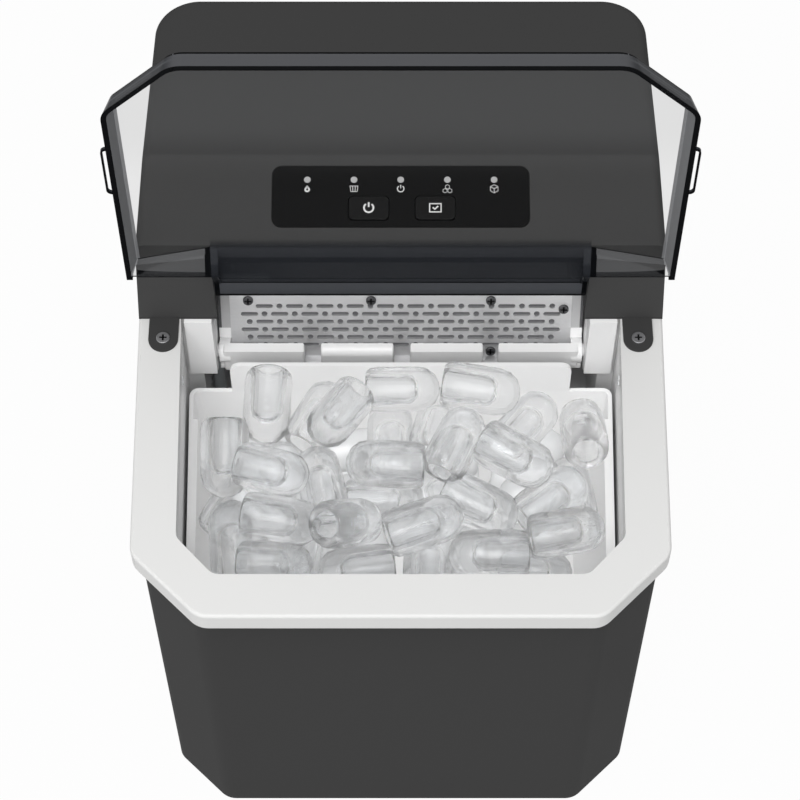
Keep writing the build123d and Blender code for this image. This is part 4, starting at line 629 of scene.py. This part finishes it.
power_strokes = power_mark(power_key_x, key_row, radius=1.95)
select_strokes = tick_mark(select_key_x, key_row, width=4.7, height=3.6)
print_marks("mark_power_key", power_strokes, width=0.75, level=key_top, body="power_button")
print_marks("mark_select_key", select_strokes, width=0.7, level=key_top, body="select_button")


# Smoked lid
# One clear smoke-tinted moulding: a thin pane, a skirt round three sides and a curled tongue at the hinge.
# The pane hardly tints; skirt, rim and corners, dark where light runs along them, carry painted shade by
# place, with painted highlights, and the pane's front part a painted sheen.
lid_pivot = Vector((0.0, 24.0, 251.0)) * MM
lid_swing = math.radians(92.0)
lid_rim_level = 224.8 * MM
lid_height = 9.5 * MM
lid_rear = 7.5 * MM
lid_front = -120.5 * MM
lid_half = 112.0 * MM
lid_cut_x = 27.5 * MM
lid_cut_y = 26.0 * MM
lid_draft = math.tan(math.radians(15.0))


def both(tree, first, second):
    """Product of two values, so 1 where two masks are both 1."""
    return math_node(tree, "MULTIPLY", first, second)


def any_of(tree, masks):
    """1 where any of the masks is 1."""
    joined = masks[0]
    for mask in masks[1:]:
        joined = math_node(tree, "MAXIMUM", joined, mask)
    return joined


def closed_lid_place(tree):
    """Where a place lies on the closed lid: distance from the middle plane, Y and Z."""
    place = tree.nodes.new("ShaderNodeTexCoord")
    closed = tree.nodes.new("ShaderNodeMapping")
    turn = Matrix.Rotation(lid_swing, 4, "X")
    closed.inputs["Rotation"].default_value = (lid_swing, 0.0, 0.0)
    closed.inputs["Location"].default_value = lid_pivot - turn @ lid_pivot
    split = tree.nodes.new("ShaderNodeSeparateXYZ")
    link_up(tree, place.outputs["Object"], closed.inputs["Vector"])
    link_up(tree, closed.outputs["Vector"], split.inputs["Vector"])
    return math_node(tree, "ABSOLUTE", split.outputs["X"]), split.outputs["Y"], split.outputs["Z"]


def depth_in_skirt(tree, side, depth, height):
    """How far a place lies behind the flared outer face at the front, the sides and the cut corners."""
    from_side = math_node(tree, "SUBTRACT", lid_half, side)
    from_front = math_node(tree, "SUBTRACT", depth, lid_front)
    cut_length = math.hypot(lid_cut_x, lid_cut_y)
    cut_in_x = both(tree, from_side, lid_cut_y / cut_length)
    cut_in_y = both(tree, math_node(tree, "SUBTRACT", from_front, lid_cut_y), lid_cut_x / cut_length)
    from_cut = math_node(tree, "ADD", cut_in_x, cut_in_y)
    inset = math_node(tree, "MINIMUM", math_node(tree, "MINIMUM", from_side, from_front), from_cut)
    return math_node(tree, "SUBTRACT", inset, both(tree, height, lid_draft))


skirt_wall = 2.4 * MM
outer_wall = 0.4 * skirt_wall
front_band_half = 82.0 * MM
front_band_end = 87.0 * MM
streak_low = 4.6 * MM
streak_high = 6.2 * MM
rim_height = 0.5 * MM
far_edge_level = 8.4 * MM
far_edge_depth = 0.6 * MM


def skirt_light_and_shade(tree, side, height, under_skin):
    """Painted light and shade of the skirt over its smoke, with their covers, and its painted dark edges."""
    skirt = math_node(tree, "LESS_THAN", under_skin, skirt_wall)
    outer_skin = math_node(tree, "LESS_THAN", under_skin, outer_wall)
    painted_highlight_streak = both(tree, outer_skin, between(tree, height, streak_low, streak_high))
    near_middle = math_node(tree, "SUBTRACT", 1.0, ramp_up(tree, side, front_band_half, front_band_end))
    painted_front_light = both(tree, outer_skin, near_middle)
    rim = math_node(tree, "LESS_THAN", height, rim_height)
    at_face = math_node(tree, "LESS_THAN", under_skin, far_edge_depth)
    far_edge = both(tree, at_face, math_node(tree, "GREATER_THAN", height, far_edge_level))
    # Painted light and shade: a grey inner wall, a darker outer skin, a paler painted streak and a paler lit
    # front band.
    painted_tones = [
        (skirt, srgb(134, 135, 137), 0.94),
        (outer_skin, srgb(48, 50, 54), 0.96),
        (painted_highlight_streak, srgb(70, 72, 76), 0.96),
        (painted_front_light, srgb(86, 87, 90), 0.97),
    ]
    return painted_tones, [rim, far_edge]


tongue_half = 77.5 * MM
ramp_inner = 9.6 * MM
ramp_outer = 1.8 * MM
ramp_width = 30.5 * MM
ramp_low = 3.4 * MM
ramp_skin = 0.6 * MM
light_share = 0.4
fold_skin = 0.8 * MM
fold_before = 0.35 * MM
fold_after = 0.05 * MM
ramp_end_width = 0.5 * MM
post_width = 2.4 * MM


def ramp_light_and_shade(tree, side, depth, height, under_skin):
    """Painted light and shade of the two sloped sheets beside the tongue, with a painted highlight band near
    the fold, their covers, and their painted dark edges.
    """
    from_rear = math_node(tree, "SUBTRACT", lid_rear, depth)
    spread = math_node(tree, "SUBTRACT", side, tongue_half)
    beside = math_node(tree, "GREATER_THAN", side, tongue_half)
    inner = both(tree, beside, math_node(tree, "GREATER_THAN", under_skin, outer_wall))
    run = math_node(tree, "SUBTRACT", ramp_inner, both(tree, spread, (ramp_inner - ramp_outer) / ramp_width))
    below_fold = math_node(tree, "SUBTRACT", run, from_rear)
    sheet = both(tree, inner, math_node(tree, "GREATER_THAN", below_fold, 0.0))
    fall = both(tree, math_node(tree, "DIVIDE", below_fold, run), lid_height - ramp_low)
    upper_face = math_node(tree, "SUBTRACT", lid_height - ramp_skin, fall)
    near_fold = math_node(tree, "LESS_THAN", below_fold, both(tree, run, light_share))
    on_upper = math_node(tree, "GREATER_THAN", height, upper_face)
    painted_highlight_band = both(tree, both(tree, sheet, near_fold), on_upper)
    outer_face = math_node(tree, "GREATER_THAN", height, lid_height - fold_skin)
    fold = between(tree, below_fold, -fold_before, fold_after)
    fold_line = both(tree, both(tree, inner, outer_face), fold)
    sheet_end = both(tree, beside, math_node(tree, "LESS_THAN", from_rear, ramp_end_width))
    post = both(tree, sheet, math_node(tree, "LESS_THAN", spread, post_width))
    # The sheets' grey and the band near the fold are painted light.
    painted_tones = [(sheet, srgb(104, 105, 107), 0.18), (painted_highlight_band, srgb(118, 119, 121), 0.45)]
    return painted_tones, [fold_line, sheet_end, post]


tongue_slack = 0.1 * MM
tongue_start = -8.0 * MM
tongue_full = -3.0 * MM
tongue_low_start = 2.0 * MM
curl_line_start = 18.6 * MM
curl_start = 19.4 * MM
curl_tip_lean = 0.18
cheek_depth = 2.1 * MM
cheek_low_start = 16.0 * MM


def tongue_light_and_shade(tree, side, depth, level):
    """Painted shade of the shadowed hood seen through the tongue down to its curled end, a paler painted
    curl, their covers, and its painted dark edges.
    """
    middle = math_node(tree, "LESS_THAN", side, tongue_half + tongue_slack)
    tongue = both(tree, middle, ramp_up(tree, depth, tongue_start, tongue_full))
    tongue_low_shade = both(tree, middle, math_node(tree, "GREATER_THAN", depth, tongue_low_start))
    curl = both(tree, middle, math_node(tree, "GREATER_THAN", depth, curl_start))
    curl_line = both(tree, middle, between(tree, depth, curl_line_start, curl_start))
    past_pivot = math_node(tree, "SUBTRACT", depth, lid_pivot.y)
    under_pivot = math_node(tree, "SUBTRACT", lid_pivot.z, level)
    past_tip = math_node(tree, "GREATER_THAN", past_pivot, both(tree, under_pivot, curl_tip_lean))
    curl_tip = both(tree, middle, past_tip)
    cheek = both(tree, middle, math_node(tree, "GREATER_THAN", side, tongue_half - cheek_depth))
    cheek_low = both(tree, cheek, math_node(tree, "GREATER_THAN", depth, cheek_low_start))
    # The tongue's dark tones are painted shade of the hood behind it; the curl's paler tone is painted
    # light.
    painted_tones = [
        (tongue, srgb(54, 56, 60), 0.7),
        (tongue_low_shade, srgb(37, 39, 43), 0.82),
        (curl, srgb(72, 74, 78), 0.9),
    ]
    return painted_tones, [curl_line, curl_tip, cheek_low]


pane_cover = 0.1
sheen_full = -80.0 * MM
sheen_end = -45.0 * MM
sheen_skin = 1.0 * MM
shadow_loss = 0.92


def build_smoked_lid():
    """Smoke tint with painted light and shade by place on the closed lid: pane sheen, skirt, ramps, tongue
    and dark edges.
    """
    material, tree, shader = start_material("smoked_lid")
    side, depth, level = closed_lid_place(tree)
    height = math_node(tree, "SUBTRACT", level, lid_rim_level)
    under_skin = depth_in_skirt(tree, side, depth, height)
    # A pale layer on the pane's front part, inner face only, is a painted sheen: painted light.
    to_front = math_node(tree, "SUBTRACT", 1.0, ramp_up(tree, depth, sheen_full, sheen_end))
    painted_sheen = both(tree, to_front, math_node(tree, "LESS_THAN", height, lid_height - sheen_skin))
    skirt, skirt_edges = skirt_light_and_shade(tree, side, height, under_skin)
    ramps, ramp_edges = ramp_light_and_shade(tree, side, depth, height, under_skin)
    tongue, tongue_edges = tongue_light_and_shade(tree, side, depth, level)
    # The dark edges are painted shade.
    dark_edges = any_of(tree, skirt_edges + ramp_edges + tongue_edges)
    painted_tones = [(painted_sheen, srgb(118, 119, 120), 0.2), *skirt, *ramps, *tongue, (dark_edges, srgb(9, 10, 12), 0.97)]
    shade = srgb(18, 19, 21)
    cover = pane_cover
    for mask, colour, opacity in painted_tones:
        shade = lay_over(tree, "RGBA", mask, shade, colour)
        cover = lay_over(tree, "FLOAT", mask, cover, opacity)
    path = tree.nodes.new("ShaderNodeLightPath")
    let_through = both(tree, path.outputs["Is Shadow Ray"], shadow_loss)
    cover = both(tree, cover, math_node(tree, "SUBTRACT", 1.0, let_through))
    link_up(tree, shade, shader.inputs["Base Color"])
    link_up(tree, cover, shader.inputs["Alpha"])
    shader.inputs["Roughness"].default_value = 0.12
    shader.inputs["Specular IOR Level"].default_value = 0.01
    return material


smoked_lid = build_smoked_lid()
dress(smoked_lid, "lid")


# Ice
# Clear hollow bullets, frozen on round fingers: domed at one end, with a bore from the other.
# The loose ones on top are laid one by one, and milky rows below them fill the basket.
# Ice hardly darkens a white basket, so neither pile casts a shadow or shows in bounced light.
bullet_radius = 10.2
bullet_length = 33.0
bullet_foot = -bullet_length / 2
bore_radius = 5.2
bore_end = bullet_foot + 21.0
bore_crown = bore_end + 2.0
bore_centre = bore_end - 2.6
bore_lip = ((0.5, 2.0), (1.3, 0.4), (2.6, 0.0))
foot_edge = ((-1.6, 0.5), (-0.5, 2.0), (0.0, 6.0))
dome_height = 9.2
dome_foot = -bullet_foot - dome_height
dome_radius = bullet_radius - 0.2
neck_radius = bullet_radius - 0.1
neck_level = dome_foot - 4.0


def bullet_mesh(name, segments):
    """One bullet along Z, dome up, middle at the origin, turned from its half profile."""
    profile = [(0.0, bore_crown)]
    for turn in (30, 60, 90):
        lean = math.radians(turn)
        profile.append((bore_radius * math.sin(lean), bore_centre + bore_radius * math.cos(lean)))
    profile += [(bore_radius + out, bullet_foot + up) for out, up in bore_lip]
    profile += [(bullet_radius + out, bullet_foot + up) for out, up in foot_edge]
    profile.append((neck_radius, neck_level))
    for turn in (0, 25, 50, 72):
        lean = math.radians(turn)
        profile.append((dome_radius * math.cos(lean), dome_foot + dome_height * math.sin(lean)))
    profile.append((0.0, -bullet_foot))
    shape = bmesh.new()
    chain = [shape.verts.new((x * MM, 0.0, z * MM)) for x, z in profile]
    lines = [shape.edges.new(pair) for pair in zip(chain, chain[1:])]
    bmesh.ops.spin(
        shape, geom=chain + lines, axis=(0, 0, 1), cent=(0, 0, 0), steps=segments, angle=2 * math.pi
    )
    bmesh.ops.remove_doubles(shape, verts=shape.verts, dist=touching)
    bmesh.ops.recalc_face_normals(shape, faces=shape.faces)
    mesh = bpy.data.meshes.new(name)
    shape.to_mesh(mesh)
    shape.free()
    mesh.polygons.foreach_set("use_smooth", [True] * len(mesh.polygons))
    own_place = mesh.attributes.new("bullet_place", "FLOAT_VECTOR", "POINT")
    for entry, vertex in zip(own_place.data, mesh.vertices):
        entry.vector = vertex.co
    return mesh


ice_colour = (0.96, 0.965, 0.97, 1.0)
ice_cover = 0.74
ice_edge_cover = 0.2
frost_share = 0.06
melt_scale = 160.0
melt_depth = 1.0 * MM
streak_scale = 420.0
streak_stretch = 0.1
skin_share = 0.5


def build_clear_ice():
    """Clear ice with a slightly melted skin and streaks along each bullet."""
    material, tree, shader = start_material("clear_ice")
    place = tree.nodes.new("ShaderNodeTexCoord")
    melt = tree.nodes.new("ShaderNodeTexNoise")
    melt.inputs["Scale"].default_value = melt_scale
    melt.inputs["Detail"].default_value = 3.0
    own_place = tree.nodes.new("ShaderNodeAttribute")
    own_place.attribute_name = "bullet_place"
    stretch = tree.nodes.new("ShaderNodeMapping")
    stretch.inputs["Scale"].default_value = (1.0, 1.0, streak_stretch)
    streaks = tree.nodes.new("ShaderNodeTexNoise")
    streaks.inputs["Scale"].default_value = streak_scale
    streaks.inputs["Detail"].default_value = 3.0
    relief = tree.nodes.new("ShaderNodeBump")
    relief.inputs["Strength"].default_value = 0.4
    relief.inputs["Distance"].default_value = melt_depth
    link_up(tree, place.outputs["Object"], melt.inputs["Vector"])
    link_up(tree, own_place.outputs["Vector"], stretch.inputs["Vector"])
    link_up(tree, stretch.outputs["Vector"], streaks.inputs["Vector"])
    skin = math_node(tree, "ADD", melt.outputs["Fac"], streaks.outputs["Fac"])
    link_up(tree, math_node(tree, "MULTIPLY", skin, skin_share), relief.inputs["Height"])
    link_up(tree, relief.outputs["Normal"], shader.inputs["Normal"])
    frost = math_node(tree, "MULTIPLY", melt.outputs["Fac"], frost_share)
    link_up(tree, frost, shader.inputs["Roughness"])
    slant = tree.nodes.new("ShaderNodeLayerWeight")
    slant.inputs["Blend"].default_value = 0.35
    edge_cover = math_node(tree, "MULTIPLY", slant.outputs["Facing"], ice_edge_cover)
    link_up(tree, math_node(tree, "ADD", edge_cover, ice_cover), shader.inputs["Alpha"])
    shader.inputs["Base Color"].default_value = ice_colour
    shader.inputs["IOR"].default_value = 1.31
    shader.inputs["Transmission Weight"].default_value = 1.0
    return material


clear_ice = build_clear_ice()
milky_ice = moulded("milky_ice", srgb(222, 223, 224), 0.25, grain=200.0, bump=0.15, drift=0.08)

camera_place = Vector((0.0, -533.4, 1026.9))
camera_down = math.radians(58.0)
focal_px = 2262.0
axis_px = (400.7, 400.0)


def on_sight_line(across, down, level):
    """Point at a level, in millimetres, on the sight line through a place in the picture."""
    right = (across - axis_px[0]) / focal_px
    up = (axis_px[1] - down) / focal_px
    forward = Vector((0.0, math.cos(camera_down), -math.sin(camera_down)))
    lift = Vector((0.0, math.sin(camera_down), math.cos(camera_down)))
    ray = forward + Vector((1.0, 0.0, 0.0)) * right + lift * up
    return camera_place + ray * ((level - camera_place.z) / ray.z)


# across and down in the picture, level, heading of the dome and its rise in degrees
top_bullets = [
    (265, 398, 203, -92, -8), (312, 405, 196, 62, 4), (338, 423, 205, -124, 3), (400, 390, 207, 0, 2),
    (212, 461, 199, -90, -26), (266, 485, 204, -17, 2), (288, 458, 190, 95, 15), (275, 525, 196, -10, 0),
    (263, 554, 197, -4, 2), (212, 530, 186, 95, 20), (333, 488, 196, 103, 12), (338, 523, 197, 35, -42),
    (385, 465, 206, 178, 1), (350, 554, 197, -171, 3), (383, 505, 190, 5, 0), (426, 525, 206, 19, 3),
    (478, 384, 208, -9, -2), (462, 447, 205, 64, 6), (518, 466, 205, -30, -4), (532, 422, 198, 50, 3),
    (584, 432, 199, 92, -22), (480, 500, 193, -28, -3), (571, 531, 200, 9, 3), (490, 555, 198, 180, 0),
    (550, 497, 191, 37, 5), (556, 566, 186, -12, 0), (592, 484, 188, 100, 10), (428, 562, 187, 88, 0),
    (436, 428, 190, 75, 0), (232, 500, 184, 60, 10), (305, 540, 184, 80, 0), (440, 480, 188, 100, 0),
    (392, 437, 188, 90, 10),
]
basket_rim = 188.0
basket_reach = 84.5
open_reach = 89.0
basket_front = -107.0
basket_rear = -6.5
cut_start = -90.0
pile_top = 213.0
core_half = 7.0
bullet_clear = 19.6
ease_rounds = 80
ease_share = 0.25


def dome_way(heading, rise):
    """Unit vector of a bullet's dome."""
    turn, tip = math.radians(heading), math.radians(rise)
    return Vector((math.cos(turn) * math.cos(tip), math.sin(turn) * math.cos(tip), math.sin(tip)))


def nearest_on(start, way, half, point):
    """Nearest point to a place on a bullet's inner line."""
    along = max(-half, min(half, (point - start).dot(way)))
    return start + way * along


def ease_apart(places, ways, half, clear):
    """Push bullets off one another and off the walls, a little at a time."""
    for _ in range(ease_rounds):
        for first in range(len(places)):
            for second in range(first + 1, len(places)):
                spot = nearest_on(places[second], ways[second], half, places[first])
                own = nearest_on(places[first], ways[first], half, spot)
                spot = nearest_on(places[second], ways[second], half, own)
                gap = own - spot
                if touching < gap.length < clear:
                    push = gap.normalized() * (clear - gap.length) * ease_share
                    places[first] += push
                    places[second] -= push
        for spot, way in zip(places, ways):
            reach_x = abs(way.x) * half + clear / 2
            reach_y = abs(way.y) * half + clear / 2
            low = spot.z - abs(way.z) * half - clear / 2
            widest = open_reach if low > basket_rim else basket_reach
            spot.y = max(basket_front + reach_y, min(basket_rear - reach_y, spot.y))
            cut = max(0.0, cut_start - (spot.y - reach_y))
            spot.x = max(-widest + cut + reach_x, min(widest - cut - reach_x, spot.x))
            spot.z = min(spot.z, pile_top)
    return places


top_ways = [dome_way(heading, rise) for _, _, _, heading, rise in top_bullets]
top_places = [on_sight_line(across, down, level) for across, down, level, _, _ in top_bullets]
top_places = ease_apart(top_places, top_ways, core_half, bullet_clear)


def build_ice_tree():
    """Sets one bullet on each point, turned by the point's own angles, with small seeded size changes."""
    bullet = ("Bullet", "NodeSocketObject")
    tree, inside, outside = start_group(
        "ice_pile",
        [("Geometry", GEOMETRY), bullet, ("Smallest", VALUE), ("Largest", VALUE), ("Ice", FINISH)],
        [("Geometry", GEOMETRY)],
        "GeometryNodeTree",
    )
    source = tree.nodes.new("GeometryNodeObjectInfo")
    turn = tree.nodes.new("GeometryNodeInputNamedAttribute")
    turn.data_type = "FLOAT_VECTOR"
    turn.inputs["Name"].default_value = "turn"
    size = tree.nodes.new("FunctionNodeRandomValue")
    size.inputs["Seed"].default_value = 7
    scatter = tree.nodes.new("GeometryNodeInstanceOnPoints")
    link_up(tree, inside.outputs["Geometry"], scatter.inputs["Points"])
    link_up(tree, inside.outputs["Bullet"], source.inputs["Object"])
    link_up(tree, source.outputs["Geometry"], scatter.inputs["Instance"])
    link_up(tree, turn.outputs["Attribute"], scatter.inputs["Rotation"])
    link_up(tree, inside.outputs["Smallest"], size.inputs[2])
    link_up(tree, inside.outputs["Largest"], size.inputs[3])
    link_up(tree, size.outputs[1], scatter.inputs["Scale"])
    end_in_finish(tree, scatter.outputs["Instances"], inside.outputs["Ice"], outside)
    return tree


ice_tree = build_ice_tree()


def lay_ice(name, places, ways, segments, ice, smallest, largest):
    """One piece of many bullets at given places, riding in the basket."""
    bullet = bpy.data.objects.new(name + "_bullet", bullet_mesh(name + "_bullet", segments))
    bpy.context.scene.collection.objects.link(bullet)
    mesh = bpy.data.meshes.new(name)
    mesh.from_pydata([spot * MM for spot in places], [], [])
    turns = mesh.attributes.new("turn", "FLOAT_VECTOR", "POINT")
    for entry, way in zip(turns.data, ways):
        entry.vector = way.to_track_quat("Z", "Y").to_euler()
    piece = bpy.data.objects.new(name, mesh)
    bpy.context.scene.collection.objects.link(piece)
    plain_mesh(piece, ice_tree, {"Bullet": bullet, "Smallest": smallest, "Largest": largest, "Ice": ice})
    bpy.data.objects.remove(bullet)
    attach(piece, "basket")
    return piece


ice_top = lay_ice("ice_top", top_places, top_ways, segments=28, ice=clear_ice, smallest=0.95, largest=1.03)

row_levels = (85.0, 105.0, 125.0, 145.0, 166.0)
row_columns = 4
rows_deep = 4
middle_column = (row_columns - 1) / 2
basket_floor = 74.0
floor_reach = 52.0
basket_flare = 0.06
front_row = -93.0
row_pitch = 23.5
column_phase, row_phase, layer_phase = 3.1, 5.3, 1.7
depth_sway, heading_sway, rise_sway = 2.0, 9.0, 3.0
row_places = []
row_ways = []
for layer, level in enumerate(row_levels):
    reach = floor_reach + (level - basket_floor) * basket_flare
    for column in range(row_columns):
        for row in range(rows_deep):
            sway = math.sin(column_phase * column + row_phase * row + layer_phase * layer)
            row_x = (column - middle_column) * reach / middle_column
            row_y = front_row + row * row_pitch + depth_sway * sway
            heading = 180.0 * ((column + row) % 2) + heading_sway * sway
            row_places.append(Vector((row_x, row_y, level)))
            row_ways.append(dome_way(heading, rise_sway * sway))
ice_rows = lay_ice("ice_rows", row_places, row_ways, segments=16, ice=milky_ice, smallest=0.9, largest=0.96)
for pile in (ice_top, ice_rows):
    pile.visible_shadow = False
    pile.visible_diffuse = False


# Studio
# A pale floor that keeps a soft shadow, a large soft key from the front left and a weaker fill.
# The camera looks down at 58 degrees, as the picture was taken.
plain_white = (1.0, 1.0, 1.0, 1.0)
floor_grey = (0.5, 0.5, 0.5, 1.0)
floor_half = 6.0
floor_white = 0.97
sky_strength = 0.4
sensor_mm = 36.0
picture_px = 800.0


def show_white(tree, plain, share):
    """Add plain white to what the camera, metal and glass see of a surface."""
    path = tree.nodes.new("ShaderNodeLightPath")
    seen = math_node(tree, "MAXIMUM", path.outputs["Is Camera Ray"], path.outputs["Is Glossy Ray"])
    seen = math_node(tree, "MAXIMUM", seen, path.outputs["Is Transmission Ray"])
    white = tree.nodes.new("ShaderNodeEmission")
    white.inputs["Color"].default_value = plain_white
    white.inputs["Strength"].default_value = 1.0
    mix = tree.nodes.new("ShaderNodeMixShader")
    link_up(tree, math_node(tree, "MULTIPLY", seen, share), mix.inputs[0])
    link_up(tree, plain, mix.inputs[1])
    link_up(tree, white.outputs["Emission"], mix.inputs[2])
    return mix.outputs["Shader"]


floor_mesh = bpy.data.meshes.new("floor")
floor_corners = [(x * floor_half, y * floor_half, 0.0) for x, y in ((-1, -1), (1, -1), (1, 1), (-1, 1))]
floor_mesh.from_pydata(floor_corners, [], [(0, 1, 2, 3)])
floor = bpy.data.objects.new("floor", floor_mesh)
bpy.context.scene.collection.objects.link(floor)
floor_paint, floor_tree, floor_shader = start_material("floor_paint")
floor_shader.inputs["Base Color"].default_value = floor_grey
floor_shader.inputs["Roughness"].default_value = 0.9
floor_shader.inputs["Specular IOR Level"].default_value = 0.0
floor_out = floor_tree.nodes["Material Output"]
floor_seen = show_white(floor_tree, floor_shader.outputs["BSDF"], floor_white)
link_up(floor_tree, floor_seen, floor_out.inputs["Surface"])
floor_mesh.materials.append(floor_paint)

world = bpy.data.worlds.new("studio")
bpy.context.scene.world = world
world.use_nodes = True
world_tree = world.node_tree
ambient = world_tree.nodes["Background"]
ambient.inputs["Color"].default_value = plain_white
ambient.inputs["Strength"].default_value = sky_strength
world_out = world_tree.nodes["World Output"]
link_up(world_tree, show_white(world_tree, ambient.outputs["Background"], 1.0), world_out.inputs["Surface"])


def soft_lamp(name, place, aim, size, power):
    """Square area lamp turned towards a point."""
    light = bpy.data.lights.new(name, "AREA")
    light.shape = "SQUARE"
    light.size = size
    light.energy = power
    lamp = bpy.data.objects.new(name, light)
    lamp.location = place
    lamp.rotation_euler = (Vector(aim) - Vector(place)).to_track_quat("-Z", "Y").to_euler()
    bpy.context.scene.collection.objects.link(lamp)


soft_lamp("key", place=(-0.25, -0.95, 2.05), aim=(0.0, 0.0, 0.2), size=1.3, power=30.0)
soft_lamp("fill", place=(-0.35, -1.65, 1.2), aim=(0.0, 0.0, 0.15), size=1.4, power=8.0)

camera_data = bpy.data.cameras.new("camera")
camera_data.sensor_width = sensor_mm
camera_data.lens = sensor_mm * focal_px / picture_px
camera_data.shift_x = (picture_px / 2 - axis_px[0]) / picture_px
camera = bpy.data.objects.new("camera", camera_data)
camera.location = camera_place * MM
camera.rotation_euler = (math.pi / 2 - camera_down, 0.0, 0.0)
bpy.context.scene.collection.objects.link(camera)
bpy.context.scene.camera = camera
bpy.context.scene.view_settings.view_transform = "Standard"
